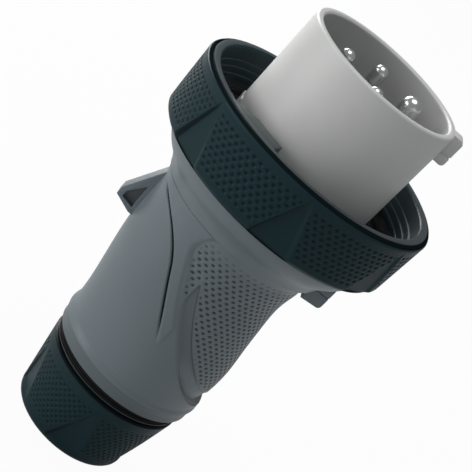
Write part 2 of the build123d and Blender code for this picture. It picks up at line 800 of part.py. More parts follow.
# Contact pins: round nose, shank, and a barrel that takes the wire and its clamping screw
for name, (angle, pin_radius, barrel_radius, lead) in pins.items():
    with BuildPart() as pin:
        pin_x = pin_circle_radius * cos(radians(angle))
        pin_y = pin_circle_radius * sin(radians(angle))
        pin_top = floor_top + pin_length + lead
        barrel_foot = floor_foot - barrel_length
        with BuildSketch(Plane.XZ):
            with BuildLine():
                Polyline(
                    (0, barrel_foot + wire_bore_depth),
                    (wire_bore_radius, barrel_foot + wire_bore_depth),
                    (wire_bore_radius, barrel_foot + 0.6),
                    (wire_bore_radius + 0.6, barrel_foot),
                    (barrel_radius, barrel_foot),
                    (barrel_radius, floor_foot),
                    (pin_radius + pin_shoulder, floor_foot),
                    (pin_radius + pin_shoulder, floor_top + pin_shoulder_height),
                    (pin_radius, floor_top + pin_shoulder_height),
                    (pin_radius, pin_top - pin_radius),
                )
                RadiusArc((pin_radius, pin_top - pin_radius), (0, pin_top), -pin_radius)
                Line((0, pin_top), (0, barrel_foot + wire_bore_depth))
            make_face()
        revolve(axis=main_axis)
        with BuildSketch(Plane.YZ.rotated((0, 0, angle))):
            with Locations((0, screw_level)):
                Circle(terminal_screw_radius)
        extrude(amount=2 * barrel_radius, mode=Mode.SUBTRACT)
    pin.part.position = (pin_x, pin_y, 0)
    finish(pin, f"pin_{name}")

# Clamping screws, one to each barrel, slotted
with BuildPart() as terminal_screws:
    for angle, pin_radius, barrel_radius, lead in pins.values():
        with BuildSketch(Plane.YZ.rotated((0, 0, angle)).offset(pin_circle_radius + barrel_radius * 0.35)):
            with Locations((0, screw_level)):
                Circle(terminal_screw_radius)
        extrude(amount=terminal_screw_length)
        slot_plane = Plane.YZ.rotated((0, 0, angle)).offset(
            pin_circle_radius + barrel_radius * 0.35 + terminal_screw_length - 0.8
        )
        with BuildSketch(slot_plane):
            with Locations((0, screw_level)):
                Rectangle(0.6, 3 * terminal_screw_radius)
        extrude(amount=1, mode=Mode.SUBTRACT)
finish(terminal_screws, "terminal_screws")

# Screws that hold the plate and the block up against the sleeve's floor
with BuildPart() as carrier_screws:
    for angle in screw_angles:
        with BuildSketch(Plane.XY.offset(retainer_foot - carrier_screw_head_height)):
            with PolarLocations(carrier_screw_circle, 1, start_angle=angle):
                Circle(carrier_screw_head_radius)
        extrude(amount=carrier_screw_head_height)
        with BuildSketch(Plane.XY.offset(retainer_foot)):
            with PolarLocations(carrier_screw_circle, 1, start_angle=angle):
                Circle(carrier_screw_radius)
        extrude(amount=floor_foot + carrier_screw_bite - retainer_foot)
        with BuildSketch(Plane.XY.offset(retainer_foot - carrier_screw_head_height)):
            with PolarLocations(carrier_screw_circle, 1, start_angle=angle):
                Rectangle(screw_slot_length, screw_slot_width)
                Rectangle(screw_slot_width, screw_slot_length)
        extrude(amount=screw_slot_depth, mode=Mode.SUBTRACT)
finish(carrier_screws, "carrier_screws")
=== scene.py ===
import math
import bmesh
import bpy
import numpy as np
from mathutils import Matrix, Vector


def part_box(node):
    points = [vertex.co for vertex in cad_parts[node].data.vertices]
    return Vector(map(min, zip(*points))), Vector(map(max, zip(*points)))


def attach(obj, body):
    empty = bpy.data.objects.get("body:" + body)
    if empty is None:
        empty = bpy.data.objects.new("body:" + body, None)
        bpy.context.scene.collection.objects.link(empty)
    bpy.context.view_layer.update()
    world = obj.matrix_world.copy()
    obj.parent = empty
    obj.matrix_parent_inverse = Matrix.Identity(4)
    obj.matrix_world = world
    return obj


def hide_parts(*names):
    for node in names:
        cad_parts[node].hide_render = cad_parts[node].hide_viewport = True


# Industrial plug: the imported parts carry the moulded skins, seals, pins and finishes made here

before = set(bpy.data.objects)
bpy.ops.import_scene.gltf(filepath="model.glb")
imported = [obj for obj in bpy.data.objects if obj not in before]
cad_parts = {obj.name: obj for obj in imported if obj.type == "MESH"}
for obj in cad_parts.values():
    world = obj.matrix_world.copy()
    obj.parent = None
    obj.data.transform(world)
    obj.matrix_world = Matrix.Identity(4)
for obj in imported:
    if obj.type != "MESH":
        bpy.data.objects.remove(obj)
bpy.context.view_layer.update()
mm = 0.001
print("frame loaded:", len(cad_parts), "parts")


def levels(node):
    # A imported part's lowest and highest level, in mm
    low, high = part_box(node)
    return low[2] / mm, high[2] / mm


def addObject(name, data):
    thing = bpy.data.objects.new(name, data)
    bpy.context.scene.collection.objects.link(thing)
    return thing


# Camera and lights, placed by the camera that was fitted to the photograph's circles

camera = {
    "place": (-66.3, -480.0, 280.8),  # mm
    "right": (0.7487, 0.1496, 0.6458),
    "up": (-0.6501, 0.3562, 0.6712),
    "lens": 122.9,
    "sensor": 36.0,
}


def makeCamera():
    right = Vector(camera["right"]).normalized()
    up = Vector(camera["up"])
    up = (up - right * up.dot(right)).normalized()
    back = right.cross(up)
    data = bpy.data.cameras.new("camera")
    data.lens = camera["lens"]
    data.sensor_width = camera["sensor"]
    eye = addObject("camera", data)
    turn = Matrix((right, up, back)).transposed().to_4x4()
    eye.matrix_world = Matrix.Translation(Vector(camera["place"]) * mm) @ turn
    bpy.context.scene.camera = eye
    return right, up, back


viewRight, viewUp, viewBack = makeCamera()
aim = Vector((0, 0, 0.09))  # what the lights point at, in m

lights = {
    # name: (to the right, up, towards the viewer, side in m, watts)
    "keyLight": (-0.95, 0.75, 0.55, 0.7, 9.8),
    "fillLight": (0.45, -0.6, 0.8, 0.9, 0.8),
    "mouthLight": (0.65, 0.95, 0.5, 0.6, 6.0),
    "backLight": (-0.05, 0.85, -0.65, 0.5, 7.0),
}


def makeLights():
    for name, (right, up, back, side, power) in lights.items():
        data = bpy.data.lights.new(name, "AREA")
        data.shape = "SQUARE"
        data.size = side
        data.energy = power
        place = aim + viewRight * right + viewUp * up + viewBack * back
        turn = (place - aim).to_track_quat("Z", "Y").to_matrix().to_4x4()
        addObject(name, data).matrix_world = Matrix.Translation(place) @ turn


makeLights()
print("camera and lights placed")


# Shader maths: a socket that takes part in plain sums

class Wire:
    def __init__(self, finish, socket):
        self.finish = finish
        self.socket = socket

    def maths(self, operation, *others):
        values = {0: self, **dict(enumerate(others, 1))}
        return self.finish.node("ShaderNodeMath", {"operation": operation}, values)

    def __add__(self, other):
        return self.maths("ADD", other)

    __radd__ = __add__

    def __mul__(self, other):
        return self.maths("MULTIPLY", other)

    __rmul__ = __mul__

    def __sub__(self, other):
        return self.maths("SUBTRACT", other)

    def __rsub__(self, other):
        return self * -1 + other

    def __truediv__(self, other):
        return self.maths("DIVIDE", other)


class Finish:
    # A material with one principled shader, and one method that adds any node
    def __init__(self, name, colour, roughness, **settings):
        self.material = bpy.data.materials.new(name)
        self.material.use_nodes = True
        self.tree = self.material.node_tree
        self.shader = self.tree.nodes["Principled BSDF"]
        self.shader.inputs["Base Color"].default_value = (*colour, 1)
        self.shader.inputs["Roughness"].default_value = roughness
        for socket, value in settings.items():
            self.shader.inputs[socket.replace("_", " ")].default_value = value
        self.place = self.node("ShaderNodeTexCoord", output="Object")

    def node(self, kind, settings={}, values={}, output=0):
        node = self.tree.nodes.new(kind)
        for key, value in settings.items():
            setattr(node, key, value)
        for key, value in values.items():
            if isinstance(value, Wire):
                self.tree.links.new(value.socket, node.inputs[key])
            else:
                node.inputs[key].default_value = value
        return Wire(self, node.outputs[output])

    def feed(self, socket, wire):
        self.tree.links.new(wire.socket, self.shader.inputs[socket])

    def stored(self, name, output):
        return self.node("ShaderNodeAttribute", {"attribute_name": name}, {}, output)

    def axis(self, vector, name):
        return self.node("ShaderNodeSeparateXYZ", {}, {0: vector}, name)

    def noise(self, scale, detail):
        values = {"Vector": self.place, "Scale": scale, "Detail": detail, "Roughness": 0.55}
        return self.node("ShaderNodeTexNoise", {}, values, "Fac")

    def mixColours(self, factor, first, second):
        # The Mix node's colour sockets are its inputs 6 and 7 and its output 2
        first, second = (c if isinstance(c, Wire) else (*c, 1) for c in (first, second))
        values = {0: factor, 6: first, 7: second}
        return self.node("ShaderNodeMix", {"data_type": "RGBA"}, values, 2)

    def step(self, wire, low, high):
        values = {"Value": wire, "From Min": low, "From Max": high}
        return self.node("ShaderNodeMapRange", {"interpolation_type": "SMOOTHSTEP"}, values)

    def bump(self, height, distance):
        values = {"Height": height, "Distance": distance, "Strength": 1.0}
        self.feed("Normal", self.node("ShaderNodeBump", {}, values, "Normal"))


def dimpleMark(finish, sizes):
    # The same staggered ovals that the mesh has, read from the piece's own field
    field = finish.stored("field", "Vector")
    across, along, room = (finish.axis(field, name) for name in "XYZ")
    row = along / sizes["Pitch Along"]
    shift = row.maths("FLOOR").maths("FLOORED_MODULO", 2.0) * 0.5
    column = across / sizes["Pitch Around"] + shift
    wide = (column.maths("FRACT") - 0.5) * (sizes["Pitch Around"] / sizes["Half Width"])
    tall = (row.maths("FRACT") - 0.5) * (sizes["Pitch Along"] / sizes["Half Length"])
    return (1 - wide * wide - tall * tall).maths("MAXIMUM", 0.0) * room


moulding = {
    "grainScale": 2600,
    "coarseScale": 900,
    "coarseShare": 0.6,
    "cloudScale": 45,
    "cloudTint": 0.07,
    "cloudGloss": 0.10,
    "grainGloss": 0.08,
    "pitEdge": (0.05, 0.75),  # how deep a dimple is where its painted shade sets in and where it is full
    "pitBump": 0.12,
    "lineShadeColour": (0.004, 0.005, 0.006),
}


def mouldedFinish(name, colour, roughness, grain=0.03, shadeTone=None, dimples=None, shadeLine=None,
                  sheen=0.5):
    # Injection-moulded plastic: spark-eroded grain and faint clouding in colour and gloss, with
    # painted shade where asked
    plastic = Finish(name, colour, roughness, Specular_IOR_Level=sheen)
    fine = plastic.noise(moulding["grainScale"], 2.0)
    cloud = plastic.noise(moulding["cloudScale"], 3.0)
    darker, lighter = ([c * (1 + side * moulding["cloudTint"]) for c in colour] for side in (-1, 1))
    tone = plastic.mixColours(cloud, darker, lighter)
    coarse = plastic.noise(moulding["coarseScale"], 1.0)
    height = (fine + coarse * moulding["coarseShare"]) * grain
    if shadeTone:
        # Painted shade: places marked in the skin are darkened towards the shade tone
        tone = plastic.mixColours(plastic.stored("paintedShade", "Fac"), tone, shadeTone)
    if dimples:
        # Painted shade in the dimples' pits, and a bump that deepens them
        bowl = dimpleMark(plastic, dimples)
        shade = dimples["shade"]
        pitShade = [own * (1 - shade) + dark * shade for own, dark in zip(colour, shadeTone)]
        tone = plastic.mixColours(plastic.step(bowl, *moulding["pitEdge"]), tone, pitShade)
        height = height - bowl * moulding["pitBump"]
    if shadeLine:
        # Painted shade drawn as dark lines
        tone = plastic.mixColours(shadeLine(plastic), tone, moulding["lineShadeColour"])
    plastic.feed("Base Color", tone)
    cloudGloss, grainGloss = moulding["cloudGloss"], moulding["grainGloss"]
    plainGloss = roughness - (cloudGloss + grainGloss) / 2
    plastic.feed("Roughness", cloud * cloudGloss + fine * grainGloss + plainGloss)
    plastic.bump(height, mm)
    return plastic.material


housingTone = (0.150, 0.184, 0.203)
# The two darkest tones are painted shade, for walls, rims, pits and pockets
shadeGrey = (0.030, 0.037, 0.041)
shadeDark = (0.005, 0.010, 0.012)
darkTeal = (0.0122, 0.033, 0.039)
housingGrey = mouldedFinish("housingGrey", housingTone, 0.42, shadeTone=shadeGrey)
ringDark = mouldedFinish("ringDark", (0.017, 0.032, 0.037), 0.36, sheen=0.75)
# A dark, dull finish painted on the ring's rim as shade
ringShade = mouldedFinish("ringShade", shadeDark, 0.6, sheen=0.0)
sleeveGrey = mouldedFinish("sleeveGrey", (0.63, 0.635, 0.62), 0.45, 0.015)
# A darker copy of the sleeve's finish, painted shade for its inside
sleeveInsideShade = mouldedFinish("sleeveInsideShade", (0.42, 0.425, 0.415), 0.5, 0.015)
carrierGrey = mouldedFinish("carrierGrey", (0.28, 0.28, 0.27), 0.6)
glandWhite = mouldedFinish("glandWhite", (0.55, 0.55, 0.53), 0.5)
washerGrey = mouldedFinish("washerGrey", (0.035, 0.038, 0.042), 0.45, sheen=0.25)

rubber = {
    "darkest": (0.003, 0.003, 0.004),
    "lightest": (0.009, 0.009, 0.010),
    "bloomScale": 60,
    "grainScale": 1800,
    "grainDepth": 0.02,  # mm
    "dullness": (0.47, 0.72),
}


def rubberFinish():
    # Black rubber with a faint bloom
    seal = Finish("sealRubber", rubber["darkest"], 0.6, Specular_IOR_Level=0.15)
    bloom = seal.noise(rubber["bloomScale"], 4.0)
    low, high = rubber["dullness"]
    seal.feed("Base Color", seal.mixColours(bloom, rubber["darkest"], rubber["lightest"]))
    seal.feed("Roughness", bloom * (high - low) + low)
    seal.bump(seal.noise(rubber["grainScale"], 2.0), rubber["grainDepth"] * mm)
    return seal.material


turning = {
    "ringScale": 9000.0,
    "ringDepth": 0.002,  # mm
    "smudgeScale": 180,
    "smudgeTint": 0.08,
    "smudgeGloss": 0.10,
    "polish": 0.04,
}


def turnedMetal(name, colour, roughness):
    # Turned and plated: fine rings along the length, and light handling smudges
    metal = Finish(name, colour, roughness, Metallic=1.0)
    values = {"W": metal.axis(metal.place, "Z"), "Scale": turning["ringScale"], "Detail": 1.0}
    rings = metal.node("ShaderNodeTexNoise", {"noise_dimensions": "1D"}, values, "Fac")
    smudge = metal.noise(turning["smudgeScale"], 3.0)
    dimmed = [c * (1 - turning["smudgeTint"]) for c in colour]
    metal.feed("Base Color", metal.mixColours(smudge, dimmed, colour))
    plainGloss = roughness - turning["polish"]
    metal.feed("Roughness", smudge * turning["smudgeGloss"] + plainGloss)
    metal.bump(rings, turning["ringDepth"] * mm)
    return metal.material


sealRubber = rubberFinish()
nickel = turnedMetal("nickel", (0.80, 0.81, 0.80), 0.26)
zincSteel = turnedMetal("zincSteel", (0.55, 0.55, 0.54), 0.3)

# A dress is a piece's finish, the body that it rides on and its slot
housingDress = (housingGrey, "plug_body", "housing")
sleeveDress = (sleeveGrey, "plug_body", "sleeve")
sealDress = (sealRubber, "plug_body", "rubber")
washerDress = (washerGrey, "plug_body", "washer")
pinDress = (nickel, "plug_body", "pin_metal")
ringDress = (ringDark, "ring_body", "dark")
print("finishes made")


# Geometry Nodes: press staggered dimples along the normals, where the piece's field says so

def dimpleTree():
    tree = bpy.data.node_groups.new("pressDimples", "GeometryNodeTree")
    face = tree.interface
    face.new_socket("Geometry", in_out="INPUT", socket_type="NodeSocketGeometry")
    for name in ("Pitch Around", "Pitch Along", "Half Width", "Half Length", "Depth"):
        face.new_socket(name, in_out="INPUT", socket_type="NodeSocketFloat")
    face.new_socket("Material", in_out="INPUT", socket_type="NodeSocketMaterial")
    face.new_socket("Geometry", in_out="OUTPUT", socket_type="NodeSocketGeometry")
    entry = tree.nodes.new("NodeGroupInput").outputs
    leave = tree.nodes.new("NodeGroupOutput")

    def add(kind, settings, *values):
        node = tree.nodes.new(kind)
        for key, value in settings.items():
            setattr(node, key, value)
        for socket, value in zip(node.inputs, values):
            if isinstance(value, bpy.types.NodeSocket):
                tree.links.new(value, socket)
            else:
                socket.default_value = value
        return node.outputs[0]

    def maths(operation, *values):
        return add("ShaderNodeMath", {"operation": operation}, *values)

    def reach(cell, pitch, half):
        # The square of the way from a cell's middle, as a share of the oval's half size
        way = maths("MULTIPLY", maths("SUBTRACT", maths("FRACT", cell), 0.5), entry[pitch])
        return maths("POWER", maths("DIVIDE", way, entry[half]), 2.0)

    stored = tree.nodes.new("GeometryNodeInputNamedAttribute")
    stored.data_type = "FLOAT_VECTOR"
    stored.inputs["Name"].default_value = "field"
    parts = tree.nodes.new("ShaderNodeSeparateXYZ")
    tree.links.new(stored.outputs["Attribute"], parts.inputs[0])
    along = maths("DIVIDE", parts.outputs["Y"], entry["Pitch Along"])
    shift = maths("MULTIPLY", maths("FLOORED_MODULO", maths("FLOOR", along), 2.0), 0.5)
    around = maths("ADD", maths("DIVIDE", parts.outputs["X"], entry["Pitch Around"]), shift)
    wide = reach(around, "Pitch Around", "Half Width")
    tall = reach(along, "Pitch Along", "Half Length")
    bowl = maths("MAXIMUM", maths("SUBTRACT", 1.0, maths("ADD", wide, tall)), 0.0)
    pressed = maths("MULTIPLY", bowl, parts.outputs["Z"])
    depth = maths("MULTIPLY", maths("MULTIPLY", pressed, entry["Depth"]), -mm)
    normal = tree.nodes.new("GeometryNodeInputNormal").outputs[0]
    push = add("ShaderNodeVectorMath", {"operation": "SCALE"}, normal)
    tree.links.new(depth, push.node.inputs["Scale"])
    moved = tree.nodes.new("GeometryNodeSetPosition")
    tree.links.new(entry["Geometry"], moved.inputs["Geometry"])
    tree.links.new(push, moved.inputs["Offset"])
    real = add("GeometryNodeRealizeInstances", {}, moved.outputs["Geometry"])
    paint = tree.nodes.new("GeometryNodeSetMaterial")
    tree.links.new(real, paint.inputs["Geometry"])
    tree.links.new(entry["Material"], paint.inputs["Material"])
    tree.links.new(paint.outputs["Geometry"], leave.inputs["Geometry"])
    return tree


pressDimples = dimpleTree()


# Mesh helpers

def cleanMesh(mesh):
    # Merge doubles and turn every face outwards
    shape = bmesh.new()
    shape.from_mesh(mesh)
    bmesh.ops.remove_doubles(shape, verts=shape.verts, dist=1e-7)
    bmesh.ops.recalc_face_normals(shape, faces=shape.faces)
    shape.to_mesh(mesh)
    shape.free()


def keepModifiers(piece):
    # The mesh as the modifiers leave it takes the place of the piece's own
    bpy.context.view_layer.update()
    graph = bpy.context.evaluated_depsgraph_get()
    result = bpy.data.meshes.new_from_object(piece.evaluated_get(graph))
    piece.modifiers.clear()
    old = piece.data
    piece.data = result
    bpy.data.meshes.remove(old)


def press(piece, sizes, material):
    # Run the tree on a piece and keep the result as a plain mesh
    step = piece.modifiers.new("dimples", "NODES")
    step.node_group = pressDimples
    for item in pressDimples.interface.items_tree:
        if item.in_out == "INPUT" and item.name in sizes:
            step[item.identifier] = sizes[item.name]
        elif item.in_out == "INPUT" and item.name == "Material":
            step[item.identifier] = material
    keepModifiers(piece)
    print(piece.name, "pressed:", len(piece.data.polygons), "faces")


def dressPiece(piece, dress, stands=(), sharp=40, dimples=None):
    # Clean a piece, press its dimples, then give it its finish and body
    material, body, slot = dress
    cleanMesh(piece.data)
    piece.data.shade_smooth()
    piece.data.set_sharp_from_angle(angle=math.radians(sharp))
    if dimples:
        press(piece, dimples, material)
    piece.data.materials.clear()
    piece.data.materials.append(material)
    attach(piece, body)
    if stands:
        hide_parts(*stands)
    return piece


def rounded(points, radius, steps):
    # A closed outline with each corner turned into a small arc
    most = 0.45  # of the shorter side
    result = []
    count = len(points)
    for index, point in enumerate(points):
        before = np.array(points[index - 1], float)
        here = np.array(point, float)
        after = np.array(points[(index + 1) % count], float)
        back, on = before - here, after - here
        reach = min(radius, np.hypot(*back) * most, np.hypot(*on) * most)
        start = here + back / np.hypot(*back) * reach
        stop = here + on / np.hypot(*on) * reach
        for step in range(steps + 1):
            t = step / steps
            result.append((1 - t) ** 2 * start + 2 * t * (1 - t) * here + t ** 2 * stop)
    return result


def dense(start, stop, longest):
    # Points from start to stop, none further from the next than longest
    start, stop = np.array(start), np.array(stop)
    parts = max(1, int(math.ceil(np.hypot(*(stop - start)) / longest)))
    return [start + (stop - start) * part / parts for part in range(parts)] + [stop]


def ease(value, low, high):
    # A soft ramp from 0 at low to 1 at high, and high may be the lower number
    t = np.clip((value - low) / (high - low), 0, 1)
    return t * t * (3 - 2 * t)


def gridPiece(name, points, closed, field=None, paintedShade=None):
    # A skin through rows of points in mm, with the dimples' field and the painted shade that its
    # finish reads
    rows, columns = points.shape[:2]
    faces = []
    for row in range(rows if closed else rows - 1):
        following = (row + 1) % rows
        for column in range(columns):
            beside = (column + 1) % columns
            faces.append((row * columns + column, row * columns + beside,
                          following * columns + beside, following * columns + column))
    mesh = bpy.data.meshes.new(name)
    mesh.from_pydata((points.reshape(-1, 3) * mm).tolist(), [], faces)
    if field is not None:
        marks = mesh.attributes.new("field", "FLOAT_VECTOR", "POINT")
        marks.data.foreach_set("vector", field.reshape(-1))
        marks = mesh.attributes.new("paintedShade", "FLOAT", "POINT")
        marks.data.foreach_set("value", paintedShade.reshape(-1))
    return addObject(name, mesh)


def turned(name, outline, columns, dress, stands=(), shiftX=0.0, closed=True, skin=None, seam=0.0,
           dimples=None):
    # Turn an outline of (radius, height) in mm about an upright axis, round from the seam's angle
    # skin(radius, around, height) may press it in, and gives the dimples' field and the painted
    # shade
    radius, height = (np.repeat(side[:, None], columns, 1) for side in np.array(outline).T)
    angle = math.radians(seam) + np.arange(columns) / columns * 2 * np.pi
    around = np.repeat(angle[None, :], len(outline), 0)
    field = paintedShade = None
    if skin:
        radius, field, paintedShade = skin(radius, around, height)
    points = np.stack([radius * np.cos(around) + shiftX, radius * np.sin(around), height], -1)
    piece = gridPiece(name, points, closed, field, paintedShade)
    return dressPiece(piece, dress, stands, dimples=dimples)


def lowerCorner(reach, foot, radius):
    # A slab's rounded lower corner, from its foot out and up to its reach
    return [(reach - radius + radius * math.sin(a), foot + radius - radius * math.cos(a))
            for a in np.linspace(0, math.pi / 2, 7)]


def makeSlab(name, flat, low, high, dress, bevel, plane="XY", cutters=()):
    # A flat outline given thickness, with small rounded edges
    def place(point, level):
        across, up = (point[1], level) if plane == "XY" else (level, point[1])
        return point[0] * mm, across * mm, up * mm

    count = len(flat)
    vertices = [place(point, level) for level in (low, high) for point in flat]
    faces = [tuple(range(count)), tuple(range(count, 2 * count))]
    for index in range(count):
        beside = (index + 1) % count
        faces.append((index, beside, count + beside, count + index))
    mesh = bpy.data.meshes.new(name)
    mesh.from_pydata(vertices, [], faces)
    cleanMesh(mesh)
    piece = addObject(name, mesh)
    for cutter in cutters:
        cut = piece.modifiers.new("cut", "BOOLEAN")
        cut.object = cutter
        cut.operation = "DIFFERENCE"
    if bevel:
        soft = piece.modifiers.new("soft", "BEVEL")
        soft.width = bevel * mm
        soft.segments = 3
        soft.limit_method = "ANGLE"
        soft.angle_limit = math.radians(30)
    keepModifiers(piece)
    if dress:
        dressPiece(piece, dress)
    return piece


def dimpleField(around, height, room, sizes, radius):
    # Each point's place in the pattern, in mm around and up, and how much room a dimple has there
    pitch = sizes["Pitch Around"]
    turns = round(2 * np.pi * radius / pitch)
    return np.stack([around / (2 * np.pi) * turns * pitch, height, room], -1)


# Pointed flats, pressed into ring and nut

flatWall = {
    # mm, but those named Share are shares of the walls' width, which falls towards the tip
    "footWidth": 1.15,
    "tipFade": (0.15, 0.4),
    "sunkShare": (-0.55, 0.75),
    "flushFade": (-0.25, 0.15),
    "lipShare": (0, 1.7),
    "shadeShare": (-0.7, -0.2),
    "shadeEndShare": (0.9, 0.5),
    "shadeFade": (0, 0.8),
    "shade": 0.7,
    "gapShare": 0.4,
    "gapFade": (0.5, 0.8),
}


def onSkin(radius, angle, level):
    turn = math.radians(angle)
    return np.array((radius * math.cos(turn), radius * math.sin(turn), level))


def flatDepth(radius, around, height, flats, rear, front):
    # How far the flats lie under the skin, the way in from their two edges and the walls' width
    # rear and front give (radius, level) of a flat's base and of its tip
    pitch = 2 * np.pi / flats["count"]
    off = (around - math.radians(flats["turn"]) + pitch / 2) % pitch - pitch / 2
    tip = onSkin(front[0], flats["lean"], front[1])
    sunk = onSkin(rear[0] - flats["sink"], -flats["halfAngle"], rear[1])
    flush = onSkin(rear[0], flats["halfAngle"], rear[1])
    facing = np.cross(flush - sunk, tip - sunk)
    across = facing[0] * np.cos(off) + facing[1] * np.sin(off)
    plane = (facing @ sunk - facing[2] * height) / across
    share = (height - rear[1]) / (front[1] - rear[1])

    def edge(corner):
        side = tip - corner
        return np.arctan2(corner[1] + side[1] * share, corner[0] + side[0] * share)

    inSunk, inFlush = (off - edge(sunk)) * radius, (edge(flush) - off) * radius
    return radius - plane, inSunk, inFlush, flatWall["footWidth"] - share


def pressFlats(radius, depth, inSunk, inFlush, wide, lip):
    # Both edges are sloped walls that narrow towards the tip, the flush one shallow; the sunk wall
    # gets painted shade
    def walled(value, name):
        low, high = flatWall[name]
        return ease(value, low * wide, high * wide)

    tip = ease(wide, *flatWall["tipFade"])
    depth = np.maximum(depth, 0) * ease(inFlush, *flatWall["flushFade"])
    depth = depth + lip * walled(inFlush, "lipShare") * tip
    # Painted shade on the sunk wall
    wall = walled(inSunk, "shadeShare") * walled(inSunk, "shadeEndShare")
    wall = wall * ease(inFlush, *flatWall["shadeFade"]) * tip
    outside = np.maximum(-inSunk - flatWall["gapShare"] * wide, -inFlush)
    pressed = radius - depth * walled(inSunk, "sunkShare")
    return pressed, wall * flatWall["shade"], ease(outside, *flatWall["gapFade"])


def gripSkin(sizes, radius, around, height, outer, rear, front, ends):
    # The flats in a piece's outer skin, their walls' painted shade, and the dimples between them
    low, high = ends
    flats = sizes["flats"]
    marks = flatDepth(radius, around, height, flats, rear, front)
    pressed, wall, clear = pressFlats(radius, *marks, flats["lip"])
    room = ease(height - low, *sizes["dimplesFrom"]) * ease(high - height, *sizes["dimplesTo"])
    room = room * clear * outer
    return pressed, wall, dimpleField(around, height, room, sizes["dimples"], front[0])


# Locking ring

ring = {
    "frontRadius": 46.1,
    "rearRadius": 44.9,
    "bore": 41.6,
    "boreChamfer": 0.5,
    "lipRadius": 38.0,
    "lip": 2.4,
    "edge": 1.4,
    "edgeShare": 0.6,
    "rimStep": 0.45,  # the rebate between the front face and the outer edge, painted dark as shade
    "rimSlope": 0.15,
    "ridges": 3,
    "ridgeStep": 0.6,
    "ridgePitch": 2.4,
    "ridgeFoot": 10.5,  # above the ring's rear face
    "rounding": 0.3,
    "flats": {"count": 7, "turn": -85.0, "halfAngle": 10.0, "lean": 0.0, "sink": 1.0, "lip": 0.5},
    "skin": (1.3, 0.3),  # its points lie at most this deep, and this far below the front
    "dimples": {"Pitch Around": 2.77, "Pitch Along": 1.80, "Half Width": 0.98,
                "Half Length": 0.62, "Depth": 0.36, "shade": 0.55},
    "dimplesFrom": (2.8, 3.3),  # from the rear face
    "dimplesTo": (3.1, 3.6),  # from the front face
    "rearShade": (0.9, 0.4),
    "rearShadeReach": 2.0,
    "rimShade": 0.95,
    "rimShadeReach": 0.4,
    "rimShadeDrop": 1.05,
    "rimFaceReach": 0.2,
    "shinyFront": (0.45, 0.3, 0.1),  # how far from the bore, from the edge and below the front
    "shinyBore": (0.5, 0.6),  # how far outside the bore and below the front
    "lugRadius": 34.4,
    "lugRoot": 0.4,
    "lugHeight": 3.6,
    "lugDrop": 0.3,
    "lugSpan": 29.0,
    "lugInnerShare": 2 / 3,
    "lugAngle": -124.0,
    "lugBevel": 0.35,
    "lugs": 2,
    "seam": 172.14,  # the angle where the mesh starts: on a flat, which has no dimples
    "columns": 800,
    "cells": (0.31, 6.0),  # longest on the outer skin, where the dimples are, and elsewhere
    "cellDepth": 0.6,
}
ringGrip = mouldedFinish("ringGrip", darkTeal, 0.42, shadeTone=shadeDark, dimples=ring["dimples"],
                         sheen=0.10)


def ringSkin(radius, around, height):
    low, high = levels("locking_ring")
    front, rear, edge = ring["frontRadius"], ring["rearRadius"], ring["edge"]
    skinDepth, skinDrop = ring["skin"]
    outer = (radius > rear - skinDepth) & (height < high - skinDrop)
    pressed, wall, field = gripSkin(ring, radius, around, height, outer, (rear, low + edge),
                                    (front, high - edge), (low, high))
    # Painted shade on the rim's rebate
    inRim = radius > front - edge - ring["rimShadeReach"]
    rim = (inRim & (height > high - ring["rimShadeDrop"])) * ring["rimShade"]
    # Painted shade along the ring's rear edge, where it meets the collar
    rearShade = ease(height - low, *ring["rearShade"]) * (radius > rear - ring["rearShadeReach"])
    paintedShade = np.maximum(np.where(outer, wall, 0), np.maximum(rim, rearShade))
    return np.where(outer, pressed, radius), field, paintedShade


def paintRing(piece, low, high):
    # The smooth front face and the bore shine more than the skin, and the rim's rebate gets a dark,
    # dull finish as painted shade
    bore, edge = ring["bore"], ring["frontRadius"] - ring["edge"]
    fromBore, fromEdge, frontDrop = ring["shinyFront"]
    boreReach, boreDrop = ring["shinyBore"]
    piece.data.materials.append(ringDark)
    piece.data.materials.append(ringShade)
    for face in piece.data.polygons:
        reach = math.hypot(face.center.x, face.center.y) / mm
        level = face.center.z / mm
        inFront = level > high - frontDrop and bore + fromBore < reach < edge - fromEdge
        inBore = low + ring["lip"] < level < high - boreDrop and reach < bore + boreReach
        inRim = level > high - ring["rimShadeDrop"] and reach > edge - ring["rimFaceReach"]
        face.material_index = 2 if inRim else int(inFront or inBore)


def makeRing():
    low, high = levels("locking_ring")
    front, rear, edge = ring["frontRadius"], ring["rearRadius"], ring["edge"]
    lipTop = low + ring["lip"]
    rim, share, chamfer = ring["rimStep"], ring["edgeShare"], ring["boreChamfer"]
    faceEdge = front - edge - rim * share
    outline = [(ring["lipRadius"], low), (rear - edge, low), (rear, low + edge),
               (front, high - edge), (front - edge * share, high - rim),
               (faceEdge, high - rim - ring["rimSlope"]), (faceEdge, high),
               (ring["bore"] + chamfer, high), (ring["bore"], high - chamfer)]
    level = low + ring["ridgeFoot"] + ring["ridges"] * ring["ridgePitch"]
    bore = ring["bore"]
    for _ in range(ring["ridges"]):
        outline += [(bore, level), (bore - ring["ridgeStep"], level)]
        bore -= ring["ridgeStep"]
        level -= ring["ridgePitch"]
    outline += [(bore, level), (ring["bore"], level), (ring["bore"], lipTop),
                (ring["lipRadius"], lipTop)]
    corners = rounded(outline, ring["rounding"], 2)
    small, large = ring["cells"]
    points = []
    for here, there in zip(corners, corners[1:] + corners[:1]):
        onOuter = min(here[0], there[0]) > rear - ring["cellDepth"]
        points += dense(here, there, small if onOuter else large)[:-1]
    dress = (ringGrip, "ring_body", "dark")
    piece = turned("ringShell", points, ring["columns"], dress, ["locking_ring"],
                   skin=ringSkin, seam=ring["seam"], dimples=ring["dimples"])
    paintRing(piece, low, high)


